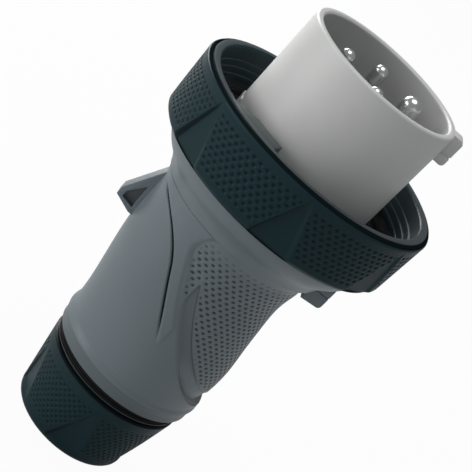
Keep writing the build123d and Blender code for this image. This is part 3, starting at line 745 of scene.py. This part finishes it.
def makeRingLugs():
    # Each lug is a stretch of a ring, shorter on its inner side and square at one end
    top = levels("locking_ring")[1] - ring["lugDrop"]
    span = math.radians(ring["lugSpan"])
    for lug in range(ring["lugs"]):
        start = math.radians(ring["lugAngle"]) - span / 2 + lug * 2 * math.pi / ring["lugs"]
        back = span * ring["lugInnerShare"]
        outer = ring["bore"] + ring["lugRoot"]
        outline = [(outer, start + span * step / 12) for step in range(13)]
        outline += [(ring["lugRadius"], start + span - back * step / 8) for step in range(9)]
        flat = [(radius * math.cos(angle), radius * math.sin(angle)) for radius, angle in outline]
        foot = top - ring["lugHeight"]
        makeSlab(f"ringLug{lug + 1}", flat, foot, top, ringDress, ring["lugBevel"])


makeRing()
makeRingLugs()
print("locking ring made")


# Gland nut

nut = {
    "frontRadius": 26.1,
    "rearRadius": 22.0,
    "rounding": 3.2,
    "edge": 0.8,
    "edgeRounding": 0.25,
    "length": 27.2,
    "collarRadius": 24.5,
    "bore": 22.5,
    "hole": 11.0,
    "holeChamfer": 1,
    "floor": 4.0,
    "cone": 7.0,
    "axisX": 3.4,
    "flats": {"count": 5, "turn": -87.0, "halfAngle": 17.0, "lean": 3.0, "sink": 0.8, "lip": 0.0},
    "flatFade": (0.6, 1.4),  # where the flats set in, in shares of the rounding
    "skin": (1.0, 0.1),
    "dimples": {"Pitch Around": 2.55, "Pitch Along": 1.40, "Half Width": 0.86,
                "Half Length": 0.54, "Depth": 0.28, "shade": 0.55},
    "dimplesFrom": (4.9, 5.4),  # from the cable end
    "dimplesTo": (4.0, 4.5),  # from the housing's end
    "edgeShadeReach": 0.5,
    "seam": 129.0,  # on a flat
    "columns": 600,
    "cell": 0.33,
}
nutGrip = mouldedFinish("nutGrip", darkTeal, 0.42, shadeTone=shadeDark, dimples=nut["dimples"],
                        sheen=0.10)


def nutSkin(radius, around, height):
    length, rounding, edge = nut["length"], nut["rounding"], nut["edge"]
    front, rear = nut["frontRadius"], nut["rearRadius"]
    fadeFrom, fadeTo = (rounding * share for share in nut["flatFade"])
    skin = rear + (front - rear) * (height - rounding) / (length - edge - rounding)
    skinDepth, skinDrop = nut["skin"]
    outer = (radius > skin - skinDepth) & (height > fadeFrom) & (height < length - skinDrop)
    pressed, wall, field = gripSkin(nut, radius, around, height, outer, (rear, rounding),
                                    (front, length - 2 * edge), (0, length))
    fade = ease(height, fadeFrom, fadeTo)
    # Painted shade on the nut's edge by the washer, and on the flats' walls
    inEdge = radius > nut["collarRadius"] - nut["edgeShadeReach"]
    edgeShade = inEdge & (height > length - edge)
    paintedShade = np.where(outer, np.maximum(wall, edgeShade), edgeShade)
    return np.where(outer, radius + (pressed - radius) * fade, radius), field, paintedShade


def makeNut():
    high = levels("gland_nut")[1]
    length, rear, rounding = nut["length"], nut["rearRadius"], nut["rounding"]
    front, edge = nut["frontRadius"], nut["edge"]
    hole, chamfer, floor, cone = nut["hole"], nut["holeChamfer"], nut["floor"], nut["cone"]
    foot = [(rear - rounding * (1 - math.cos(a)), rounding * (1 - math.sin(a)))
            for a in np.linspace(0.1, math.pi / 2, 9)]
    outline = [(hole + chamfer, 0), (hole, chamfer), (hole, floor - chamfer),
               (nut["bore"] - cone, floor), (nut["bore"], floor + cone), (nut["bore"], high),
               (nut["collarRadius"], high), (nut["collarRadius"], length),
               (front - edge, length), (front, length - edge)]
    points = rounded(outline, nut["edgeRounding"], 2)
    # From the last corner's start the skin runs down in small cells to the rounded foot
    points = points[:-3] + dense(points[-3], (rear, rounding), nut["cell"]) + foot
    turned("nutShell", points, nut["columns"], (nutGrip, "nut_body", "dark"), ["gland_nut"],
           nut["axisX"], skin=nutSkin, seam=nut["seam"], dimples=nut["dimples"])


makeNut()
print("gland nut made")


# Rear housing: the skin follows the same stations as the solid

housing = {
    "length": 66.3,
    # (share of the length, reach to the lug's side, reach to the key's side)
    "stations": [(0.065, 23.5, 30.6), (0.20, 24.3, 31.6), (0.34, 25.8, 31.7), (0.48, 27.5, 30.5),
                 (0.64, 29.0, 29.2), (0.80, 29.4, 28.5), (0.91, 29.5, 29.5)],
    "neck": 29.5,
    "flare": 31.4,
    "stub": 21.0,
    "spigot": 27.5,
    "footRadius": 27.8,
    "footHeight": 4.5,
    "footChamfer": 1.3,
    "footFade": 3.8,
    "footFadeDepth": 0.7,
    "axisX": 3.4,
    "gripDepth": 0.6,
    "wallStart": -0.25,
    "wallWidth": 2.3,
    "wallLeast": 0.5,
    "bandDepth": 0.35,
    "bandTilt": 0.9,
    # Side outlines, seen along Y: (x, height above the foot), and a point on their inner side
    "gripCorner": [(-5.6, 67.3), (-7.6, 65.7), (-9.0, 62.8), (-9.6, 60.0), (-9.4, 57.5)],
    "cornerSteep": 0.9,
    "gripArc": [(-9.4, 57.5), (3.9, 34.3), (29.0, 8.8)],
    "gripSide": (40, 50),
    "bandArc": [(-0.2, 50.8), (11.2, 32.5), (31.0, 13.5)],
    "bandSide": (40, 60),
    "bandStart": -0.3,
    "grooveArc": [(-28.6, 62.3), (-18.8, 57.3), (-11.2, 49.3)],
    "grooveTip": (3.0, 25.3),
    "grooveDepth": 1.0,
    "grooveHalf": 0.34,
    "slant": 1.4,  # how steeply the line falls along X below which groove and strip end
    "slantLevel": 12,
    "stripRise": 0.35,
    "dimples": {"Pitch Around": 2.82, "Pitch Along": 1.60, "Half Width": 0.90,
                "Half Length": 0.52, "Depth": 0.36, "shade": 0.9},
    "dimpleRadius": 28.5,
    "topRoom": 0.4,  # the share of their depth that the dimples keep near the collar
    "footShade": 0.35,
    "bandShade": 0.25,
    "edgeShade": 0.3,
    "edgeMiddle": 0.15,
    "seam": 180.0,  # on the lug's side, which has no dimples
    "footRows": 9,
    "rows": 186,
    "columns": 500,
    "fades": {
        # Where a mark starts and where it is full, in mm: heights are above the foot
        "wallLow": (16, 30),
        "wallHigh": (60, 46),
        "band": (0.15, -0.20),
        "bandShade": (20, 30),
        "tilt": (28, 18),
        "grooveStart": (-28.4, -26.0),
        "grooveTip": (3.0, -3.0),
        "grooveWall": (0.59, 0.14),
        "stripIn": (-0.2, 0.3),
        "stripOut": (0.0, -1.2),
        "stripEnd": (3.5, 2.9),
        "stripLow": (24, 30),
        "stripHigh": (65.3, 59.3),
        "stripSlant": (14, 18),
        "roomGrip": (1.0, 1.4),
        "roomBand": (0.8, 1.2),
        "roomTop": (1.4, 1.8),
        "roomDeep": (2, 9),
        "edge": (0.55, 0.20),
        "edgeGrip": (1.2, 1.8),
        "edgeLow": (17, 24),
        "edgeHigh": (51, 50),
    },
    "lines": {
        # Where the finish paints the groove's and the field edge's shade as dark lines, in mm
        "grooveStart": (-28.6, -26.0),
        "grooveTipFade": 7.0,
        "grooveSoft": 0.14,
        "edgeHalf": 0.28,
        "edgeSoft": 0.16,
        "edgeStrength": 0.55,
        "edgeLow": (17.0, 24.0),
    },
}


def fade(value, name):
    return ease(value, *housing["fades"][name])


def circleThrough(a, b, c):
    # Centre and radius of the arc through three points
    (ax, ay), (bx, by), (cx, cy) = a, b, c
    aa, bb, cc = ax * ax + ay * ay, bx * bx + by * by, cx * cx + cy * cy
    d = 2 * (ax * (by - cy) + bx * (cy - ay) + cx * (ay - by))
    ux = (aa * (by - cy) + bb * (cy - ay) + cc * (ay - by)) / d
    uy = (aa * (cx - bx) + bb * (ax - cx) + cc * (bx - ax)) / d
    return ux, uy, math.hypot(ax - ux, ay - uy)


def arcSide(x, up, arc):
    # Distance from an arc, positive on the side away from its centre
    return np.hypot(x - arc[0], up - arc[1]) - arc[2]


def inward(x, up, points, side):
    # Distance from the arc through the points, positive on the given point's side of it
    arc = circleThrough(*points)
    return arcSide(x, up, arc) * np.sign(arcSide(*side, arc))


def drawnArcSide(x, up, arc):
    # The distance from an arc, worked out in a finish
    sideX, sideUp = x - arc[0], up - arc[1]
    return (sideX * sideX + sideUp * sideUp).maths("SQRT") - arc[2]


def grooveSide(x, up):
    # The groove's arc, the x where it runs on straight, and the distance from its straight part
    bend, tip = np.array(housing["grooveArc"][-1]), np.array(housing["grooveTip"])
    way = (tip - bend) / np.hypot(*(tip - bend))
    straight = (x - bend[0]) * -way[1] + (up - bend[1]) * way[0]
    return circleThrough(*housing["grooveArc"]), float(bend[0]), straight


def smoothCurve(xs, ys, at):
    # Natural cubic through the stations
    n = len(xs)
    h = np.diff(xs)
    system = np.eye(n)
    right = np.zeros(n)
    for i in range(1, n - 1):
        system[i, i - 1:i + 2] = h[i - 1], 2 * (h[i - 1] + h[i]), h[i]
        right[i] = 6 * ((ys[i + 1] - ys[i]) / h[i] - (ys[i] - ys[i - 1]) / h[i - 1])
    bend = np.linalg.solve(system, right)
    i = np.clip(np.searchsorted(xs, at) - 1, 0, n - 2)
    a, b = xs[i + 1] - at, at - xs[i]
    curved = (bend[i] * a ** 3 + bend[i + 1] * b ** 3) / (6 * h[i])
    before = (ys[i] / h[i] - bend[i] * h[i] / 6) * a
    after = (ys[i + 1] / h[i] - bend[i + 1] * h[i] / 6) * b
    return curved + before + after


def housingShadeLines(finish):
    # Painted shade: the groove's black line, drawn at full sharpness by the same arc and straight,
    # and a finer dark line where the grip field's edge drops to the band
    lines = housing["lines"]
    x, z = (finish.axis(finish.place, name) / mm for name in "XZ")
    up = z - levels("gland_gasket")[1]
    arc, bendX, straight = grooveSide(x, up)
    curved = drawnArcSide(x, up, arc)
    isStraight = x.maths("GREATER_THAN", bendX)
    away = (curved + (straight - curved) * isStraight).maths("ABSOLUTE")
    start = finish.step(x, *lines["grooveStart"])
    stop = finish.step(housing["grooveTip"][0] - x, 0.0, lines["grooveTipFade"])
    # The arc's other half, down at the foot, stays plain
    aboveSlant = (up + x * housing["slant"]).maths("GREATER_THAN", housing["slantLevel"])
    half = start * stop * housing["grooveHalf"] * aboveSlant
    groove = finish.step(half - away, 0.0, lines["grooveSoft"])
    beside = drawnArcSide(x, up, circleThrough(*housing["bandArc"])).maths("ABSOLUTE")
    onEdge = finish.step(up, *lines["edgeLow"])
    onEdge = onEdge * (housing["bandArc"][0][1] - up).maths("GREATER_THAN", 0.0)
    onEdge = onEdge * x.maths("GREATER_THAN", housing["bandStart"])
    edge = finish.step(lines["edgeHalf"] - beside, 0.0, lines["edgeSoft"]) * onEdge
    return groove.maths("MAXIMUM", edge * lines["edgeStrength"])


housingSkin = mouldedFinish("housingSkin", housingTone, 0.42, shadeTone=shadeGrey,
                            dimples=housing["dimples"], shadeLine=housingShadeLines)


def housingRows(foot, top):
    # The skin's levels, with the middle and radius of its circle at each
    share, lugReach, keyReach = np.array(housing["stations"]).T
    neckLevel = foot + share[-1] * housing["length"]
    footTop = foot + housing["footHeight"]
    beside = 0.12  # a row lies this near to the foot's edge on either side
    heights = np.concatenate([
        [foot, foot],
        np.linspace(foot + 0.5, footTop - beside, housing["footRows"]),
        np.linspace(footTop + beside, top - 0.15, housing["rows"]),
        [top],
    ])
    t = np.clip((heights - foot) / housing["length"], share[0], share[-1])
    left, right = smoothCurve(share, lugReach, t), smoothCurve(share, keyReach, t)
    # The foot is round about the gland's axis: a long chamfer, an edge and a shallow valley above
    footRadius, footFade = housing["footRadius"], housing["footFade"]
    swell = np.interp(heights, [foot, footTop], [footRadius - housing["footChamfer"], footRadius])
    swell = swell - ease(heights, footTop, footTop + footFade) * housing["footFadeDepth"]
    inFoot = heights < footTop + footFade * 1.5
    left = np.where(inFoot, np.maximum(left, swell - housing["axisX"]), left)
    right = np.where(inFoot, np.maximum(right, swell + housing["axisX"]), right)
    # The flare is an arc that leaves the neck upright
    rise = np.clip(heights - neckLevel, 0, None) / (top - neckLevel)
    flare = (housing["flare"] - housing["neck"]) * rise ** 2
    left, right = left + flare, right + flare
    return heights, (right - left) / 2, (right + left) / 2


def makeHousing():
    foot = levels("gland_gasket")[1]
    top = foot + housing["length"]
    heights, centre, radius = housingRows(foot, top)
    columns = housing["columns"]
    angles = math.radians(housing["seam"]) + np.arange(columns) / columns * 2 * np.pi
    level, around = np.meshgrid(heights, angles, indexing="ij")
    middle = centre[:, None] + 0 * around
    reach = radius[:, None] + 0 * around
    x, up, below = reach * np.cos(around) + middle, level - foot, top - level
    # Grip panel: right of its long arc, and of the rounded corner at the top
    inLong = inward(x, up, housing["gripArc"], housing["gripSide"])
    corner = np.array(housing["gripCorner"])[::-1]
    inCorner = (x - np.interp(up, corner[:, 1], corner[:, 0])) * housing["cornerSteep"]
    inGrip = np.where(up > corner[0, 1], inCorner, inLong)
    # Its field of dimples starts at the band, whose upper end is cut along the axis
    inField = inward(x, up, housing["bandArc"], housing["bandSide"])
    inField = np.maximum(inField, housing["bandStart"] - x)
    wall = housing["wallWidth"] * fade(up, "wallLow") * fade(up, "wallHigh")
    grip = ease(inGrip, housing["wallStart"], wall + housing["wallLeast"])
    band = grip * fade(inField, "band")
    # Groove, and the strip that stands up between it and the grip
    arc, bendX, straight = grooveSide(x, up)
    isStraight = x > bendX
    away = np.where(isStraight, straight, arcSide(x, up, arc))
    beyond = away * np.where(isStraight, 1, np.sign(arcSide(*housing["bandSide"], arc)))
    slant = up + x * housing["slant"]
    groove = fade(abs(away), "grooveWall") * fade(x, "grooveStart") * fade(x, "grooveTip")
    groove = groove * (slant > housing["slantLevel"])
    strip = fade(beyond, "stripIn") * fade(inGrip, "stripOut") * fade(x, "stripEnd")
    strip = strip * fade(up, "stripLow") * fade(up, "stripHigh") * fade(slant, "stripSlant")
    # The grip and band lie on copies of the skin moved in on the key side, and the band's lower
    # tip leans to the left
    inset = housing["gripDepth"] * (1 + np.cos(around))
    across = np.clip(inGrip / np.maximum(inGrip - inField, 0.1), 0, 1)
    bandDepth = housing["bandDepth"] + (1 - across) * housing["bandTilt"] * fade(up, "tilt")
    reach = reach - grip * inset - band * bandDepth
    reach = reach - groove * housing["grooveDepth"] + strip * housing["stripRise"]
    room = fade(inGrip, "roomGrip") * fade(inField, "roomBand") * fade(below, "roomTop")
    room = room * (housing["topRoom"] + (1 - housing["topRoom"]) * fade(below, "roomDeep"))
    field = dimpleField(around, level, room, housing["dimples"], housing["dimpleRadius"])
    # Painted shade: the field's edge, the band and the foot are a little darker
    edge = fade(abs(inField - housing["edgeMiddle"]), "edge") * fade(inGrip, "edgeGrip")
    edge = edge * fade(up, "edgeLow") * fade(up, "edgeHigh")
    paintedShade = housing["footShade"] * (up < housing["footHeight"])
    paintedShade = paintedShade + housing["bandShade"] * band * fade(up, "bandShade")
    paintedShade = paintedShade + housing["edgeShade"] * edge
    points = np.stack([reach * np.cos(around) + middle, reach * np.sin(around), level], -1)

    # Close the foot and the top towards the stub and the spigot
    def rim(radius, shiftX, level):
        flat = 0 * angles + level
        return np.stack([radius * np.cos(angles) + shiftX, radius * np.sin(angles), flat], -1)

    points[0] = rim(housing["stub"], housing["axisX"], foot)
    points = np.concatenate([points, rim(housing["spigot"], 0, top)[None]])
    field = np.concatenate([field, field[-1:] * [1, 1, 0]])
    field[0, :, 2] = 0
    paintedShade = np.concatenate([paintedShade, paintedShade[-1:]])
    piece = gridPiece("housingShell", points, False, field, paintedShade)
    dress = (housingSkin, "plug_body", "housing")
    dressPiece(piece, dress, ["rear_housing"], sharp=60, dimples=housing["dimples"])
    return top


partingLevel = makeHousing()


# Lug with a pocket in each side, and the tab that housing and collar share

lug = {
    # (x, height above the parting level)
    "outline": [(-27.2, -1.5), (-28.0, -1.5), (-36.9, -18.4), (-36.9, -21.2), (-30.2, -23.7),
                (-27.2, -23.7)],
    "pocket": [(-30.7, -12.5), (-34.9, -18.4), (-34.9, -20.7), (-30.2, -21.7)],
    "thickness": 6.0,
    "pocketDepth": 2.1,
    "pocketShade": 0.45,
    "bevel": 0.4,
}

tab = {
    "width": 12.0,
    "reach": 36.3,
    "root": 29.0,
    "collarRoot": 30.5,
    "drop": 5.0,
    "rise": 5.5,
    "corner": 1.5,
    "bevel": 0.4,
}


def makeLug():
    half, depth = lug["thickness"] / 2, lug["pocketDepth"]
    outline, pocket = ([(x, z + partingLevel) for x, z in lug[name]]
                       for name in ("outline", "pocket"))
    cutters = []
    for side in (-1, 1):
        low, high = sorted((side * (half - depth), side * lug["thickness"]))
        cutters.append(makeSlab(f"pocketCutter{side}", pocket, low, high, None, 0, "XZ"))
    piece = makeSlab("housingLug", outline, -half, half, housingDress, lug["bevel"], "XZ", cutters)
    # Painted shade in the pockets
    inside = (half - depth / 2) * mm
    shades = [lug["pocketShade"] if abs(point.co.y) < inside else 0.0
              for point in piece.data.vertices]
    paintedShade = piece.data.attributes.new("paintedShade", "FLOAT", "POINT")
    paintedShade.data.foreach_set("value", shades)
    for cutter in cutters:
        bpy.data.objects.remove(cutter)


def makeTab():
    wide, reach, corner = tab["width"] / 2, tab["reach"], tab["corner"]
    foot = partingLevel - tab["drop"]
    flat = [(tab["root"], partingLevel), (tab["root"], foot - corner / 2)]
    flat += lowerCorner(reach, foot, corner) + [(reach, partingLevel)]
    makeSlab("housingTab", flat, -wide, wide, housingDress, tab["bevel"], "XZ")


makeLug()
makeTab()
print("housing made")


# Front collar

collar = {
    "inner": 29.5,
    "flare": 31.4,
    "shoulder": 40.4,
    "shoulderEdge": 1,
    "neck": 37.6,
    "neckHeight": 3.3,
    "bend": 0.35,
    "rounding": 0.3,
    "columns": 360,
}


def bowed(start, stop, bend):
    # Points of a shallow arc between two ends, its middle moved inwards and up by bend
    start, stop = np.array(start), np.array(stop)
    side = np.array((-1, 1)) * bend * 4
    return [start + (stop - start) * t + side * t * (1 - t) for t in np.linspace(0, 1, 8)]


def makeCollar():
    low, high = levels("front_collar")
    inner, flare, shoulder, neck = (collar[k] for k in ("inner", "flare", "shoulder", "neck"))
    neckFoot = high - collar["neckHeight"]
    edgeFoot = neckFoot - collar["shoulderEdge"]
    waist = ((flare + shoulder) / 2, (low + edgeFoot) / 2)
    # The flank bends one way up to the waist and the other way beyond it
    outline = [(inner, low)] + bowed((flare, low), waist, collar["bend"])
    outline += bowed(waist, (shoulder, edgeFoot), -collar["bend"])[1:]
    outline += [(shoulder, neckFoot), (neck, neckFoot), (neck, high), (inner, high)]
    points = rounded(outline, collar["rounding"], 2)
    turned("collarShell", points, collar["columns"], housingDress, ["front_collar"])
    wide, root, reach = tab["width"] / 2, tab["collarRoot"], tab["reach"]
    flat = [(root, -wide), (reach, -wide), (reach, wide), (root, wide)]
    makeSlab("collarTab", flat, low, low + tab["rise"], housingDress, tab["bevel"])


# Gasket and washer between nut and housing

gasket = {
    "rim": 0.8,  # how far its rim and bore lie inside the nut's
    "bore": 0.4,
    "groove": [(0.0, 0.7), (-0.5, 1.0), (0.0, 1.3)],  # (reach, height) in its side
    "rounding": 0.15,
    "columns": 240,
}

washer = {
    "rim": 0.4,
    "bore": 0.25,
    "groove": [],
    "rounding": 0.08,
    "columns": 240,
}


def makeGlandRing(name, node, sizes, dress):
    low, high = levels(node)
    outer, inner = nut["frontRadius"] - sizes["rim"], nut["bore"] - sizes["bore"]
    groove = [(outer + reach, low + up) for reach, up in sizes["groove"]]
    outline = [(inner, low), (outer, low)] + groove + [(outer, high), (inner, high)]
    points = rounded(outline, sizes["rounding"], 2)
    turned(name, points, sizes["columns"], dress, [node], nut["axisX"])


# Seal in the mouth, with two flat lips

mouthSeal = {
    "inner": 28.98,
    "outer": 37.4,
    "lips": 2,
    "lipTop": 1.2,
    "lipFoot": 1.8,
    "lipHeight": 1.4,
    "rounding": 0.3,
    "columns": 300,
}


def makeMouthSeal():
    low, high = levels("mouth_seal")
    inner, outer, lips = mouthSeal["inner"], mouthSeal["outer"], mouthSeal["lips"]
    valley = high - mouthSeal["lipHeight"]
    outline = [(inner, low), (outer, low)]
    pitch = (outer - inner) / lips
    for lip in range(lips):
        edge = outer - lip * pitch
        outline += [(edge, high), (edge - mouthSeal["lipTop"], high),
                    (edge - mouthSeal["lipFoot"], valley), (edge - pitch, valley)]
    points = rounded(outline, mouthSeal["rounding"], 3)
    turned("mouthSealRing", points, mouthSeal["columns"], sealDress, ["mouth_seal"])


makeCollar()
makeGlandRing("gasketRing", "gland_gasket", gasket, sealDress)
makeGlandRing("washerRing", "gland_washer", washer, washerDress)
makeMouthSeal()
print("collar and seals made")


# Sleeve with guide key and rib

sleeve = {
    "radius": 28.6,
    "footRadius": 27.9,
    "wall": 2.7,
    "rounding": 0.3,
    "rimOuter": (0.5, 0.5),  # the rim's outer and inner edges: (width, height)
    "rimInner": (0.6, 0.8),
    "flange": 39.3,
    "flangeHeight": 3.0,
    "reach": 47.1,
    "floor": 8.0,
    "pinReach": 34.5,  # how far the pins stand out of the floor
    "skirt": 25.0,
    "skirtWall": 3.3,
    "skirtHeight": 5.7,
    "root": 1,  # how deep key and rib reach into the wall
    "keyReach": 3.6,
    "keyWidth": 5.6,
    "keyFront": 6.6,
    "keyNose": (1.2, 1.0),
    "keyNeck": (0.5, 0.3),  # how far the neck lies under the bars, outwards and at each side
    "keyNeckLap": 0.1,
    "keyBlock": 3.4,
    "keyGroove": 0.5,
    "keyCorner": 1.4,
    "bevel": 0.25,
    "ribWidth": 9.0,
    "ribHeight": 0.35,
    "ribDrop": 36,
    "insideReach": 0.2,  # the inside's painted shade starts this far out in the wall
    "insideDrop": 0.5,  # and ends this far under the floor
    "columns": 320,
}


def makeShell(rim, flangeTop):
    flangeFoot = flangeTop - sleeve["flangeHeight"]
    floorTop = levels("pin_l1")[1] - sleeve["pinReach"]
    floorFoot, skirtFoot = floorTop - sleeve["floor"], flangeFoot - sleeve["skirtHeight"]
    radius, foot, wall = sleeve["radius"], sleeve["footRadius"], sleeve["wall"]
    skirt, flange = sleeve["skirt"], sleeve["flange"]
    skirtBore = skirt - sleeve["skirtWall"]
    (outWide, outHigh), (inWide, inHigh) = sleeve["rimOuter"], sleeve["rimInner"]
    outline = [(0.0, floorFoot), (skirtBore, floorFoot), (skirtBore, skirtFoot),
               (skirt, skirtFoot), (skirt, flangeFoot), (flange, flangeFoot), (flange, flangeTop),
               (foot, flangeTop), (radius, rim - outHigh), (radius - outWide, rim),
               (radius - wall + inWide, rim), (radius - wall, rim - inHigh),
               (foot - wall, floorTop), (0.0, floorTop)]
    # The two ends on the axis stay sharp
    inner = [point for point in rounded(outline, sleeve["rounding"], 3) if point[0] > 0.4]
    points = [np.array(outline[0])] + inner + [np.array(outline[-1])]
    shell = turned("sleeveShell", points, sleeve["columns"], sleeveDress, ["sleeve"], closed=False)
    # The inside wall and the floor between the pins get a darker, rougher copy of the sleeve's
    # finish as painted shade
    shell.data.materials.append(sleeveInsideShade)
    outermost, lowest = radius - wall + sleeve["insideReach"], floorTop - sleeve["insideDrop"]
    for face in shell.data.polygons:
        inside = math.hypot(face.center.x, face.center.y) < outermost * mm
        face.material_index = int(inside and face.center.z > lowest * mm)


def makeKey(rim):
    wide, reach = sleeve["keyWidth"] / 2, sleeve["radius"] + sleeve["keyReach"]
    root, top, bevel = sleeve["radius"] - sleeve["root"], rim - 0.01, sleeve["bevel"]
    front = rim - sleeve["keyFront"]
    groove = front - sleeve["keyGroove"]
    block = groove - sleeve["keyBlock"]
    noseWide, noseHigh = sleeve["keyNose"]
    bar = [(root, top), (reach - noseWide, top), (reach, rim - noseHigh), (reach, front),
           (root, front)]
    makeSlab("keyFrontBar", bar, -wide, wide, sleeveDress, bevel, "XZ")
    # The neck runs on into the bars above and below it
    drop, side = sleeve["keyNeck"]
    high, low = front + sleeve["keyNeckLap"], groove - sleeve["keyNeckLap"]
    neck = [(root, high), (reach - drop, high), (reach - drop, low), (root, low)]
    makeSlab("keyNeck", neck, -wide + side, wide - side, sleeveDress, 0, "XZ")
    arc = lowerCorner(reach, block, sleeve["keyCorner"])[::-1]
    rear = [(root, groove), (reach, groove)] + arc + [(root, block)]
    makeSlab("keyRearBlock", rear, -wide, wide, sleeveDress, bevel, "XZ")


def makeSleeve():
    rim = levels("sleeve")[1]
    flangeTop = rim - sleeve["reach"]
    makeShell(rim, flangeTop)
    makeKey(rim)
    # Rib opposite the key
    half, foot = sleeve["ribWidth"] / 2, sleeve["footRadius"]
    root, crest = sleeve["root"] - foot, -foot - sleeve["ribHeight"]
    rib = [(root, -half), (crest, -half), (crest, half), (root, half)]
    makeSlab("sleeveRib", rib, flangeTop, rim - sleeve["ribDrop"], sleeveDress, sleeve["bevel"])


makeSleeve()
print("sleeve made")


# Contact pins: nickel-plated, each turned as one piece

pins = {
    "circle": 12.6,
    "boreDepth": 13.0,
    "bore": 2.4,
    "boreChamfer": 0.6,
    "stepLevel": 22.0,
    "shoulder": 0.5,
    "shoulderLevel": 30.6,
    "columns": 64,
    # node: (angle on the circle, radius, radius of the barrel)
    "sets": {"pin_earth": (0, 3.5, 4.7), "pin_l1": (90, 2.5, 4.1), "pin_l2": (180, 2.5, 4.1),
             "pin_l3": (270, 2.5, 4.1)},
}


def makePins():
    for node, (angle, radius, barrel) in pins["sets"].items():
        low, high = levels(node)
        bore, chamfer, boreTop = pins["bore"], pins["boreChamfer"], low + pins["boreDepth"]
        step, shoulderTop = low + pins["stepLevel"], low + pins["shoulderLevel"]
        shoulder = radius + pins["shoulder"]
        outline = [(0.0, boreTop), (bore, boreTop), (bore, low + chamfer), (bore + chamfer, low),
                   (barrel, low), (barrel, step), (shoulder, step), (shoulder, shoulderTop),
                   (radius, shoulderTop)]
        nose = [(radius * math.cos(a), high - radius + radius * math.sin(a))
                for a in np.linspace(0, math.pi / 2, 14)]
        nose[-1] = (0.0, high)
        name = node.replace("_", "") + "Turned"
        points = outline + nose
        piece = turned(name, points, pins["columns"], pinDress, [node], closed=False)
        turn = math.radians(angle)
        side = Vector((math.cos(turn), math.sin(turn), 0)) * pins["circle"] * mm
        piece.data.transform(Matrix.Translation(side))


makePins()
print("pins made")


# Finishes on the parts that stay as they are

finishes = {
    "cable_grommet": sealRubber,
    "spigot_seal": sealRubber,
    "flange_seal": sealRubber,
    "contact_block": carrierGrey,
    "pin_retainer": carrierGrey,
    "slip_washer": glandWhite,
    "clamp_cage": glandWhite,
    "terminal_screws": zincSteel,
    "carrier_screws": zincSteel,
}
for node, finish in finishes.items():
    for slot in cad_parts[node].material_slots:
        slot.material = finish
print("inner parts finished")


# Floor and surroundings

studio = {
    "floorSide": 6.0,  # m, from the middle
    "floorColour": (0.62, 0.62, 0.62),
    "whiteShare": 0.96,  # how much of the floor that the camera sees is plain white
    "mirrorShare": 0.3,  # and how much of that white shows in reflections
    "skyColour": (0.95, 0.97, 1.0, 1),
    "skyStrength": 0.24,
}


def makeFloor():
    mesh = bpy.data.meshes.new("floor")
    side = studio["floorSide"]
    corners = [(-side, -side, 0), (side, -side, 0), (side, side, 0), (-side, side, 0)]
    mesh.from_pydata(corners, [], [(0, 1, 2, 3)])
    floor = addObject("floor", mesh)
    paint = Finish("floorPaint", studio["floorColour"], 0.9)
    seen, mirrored = (paint.node("ShaderNodeLightPath", output=f"Is {ray} Ray")
                      for ray in ("Camera", "Glossy"))
    glow = paint.node("ShaderNodeEmission", {}, {"Color": (1, 1, 1, 1), "Strength": 1.0})
    white = (seen + mirrored * studio["mirrorShare"]) * studio["whiteShare"]
    lit = Wire(paint, paint.shader.outputs[0])
    mixed = paint.node("ShaderNodeMixShader", {}, {0: white, 1: lit, 2: glow})
    paint.tree.links.new(mixed.socket, paint.tree.nodes["Material Output"].inputs["Surface"])
    mesh.materials.append(paint.material)


def makeWorld():
    world = bpy.data.worlds.new("studio")
    world.use_nodes = True
    background = world.node_tree.nodes["Background"]
    background.inputs["Color"].default_value = studio["skyColour"]
    background.inputs["Strength"].default_value = studio["skyStrength"]
    bpy.context.scene.world = world
    bpy.context.scene.view_settings.view_transform = "Standard"


makeFloor()
makeWorld()
print("studio made")
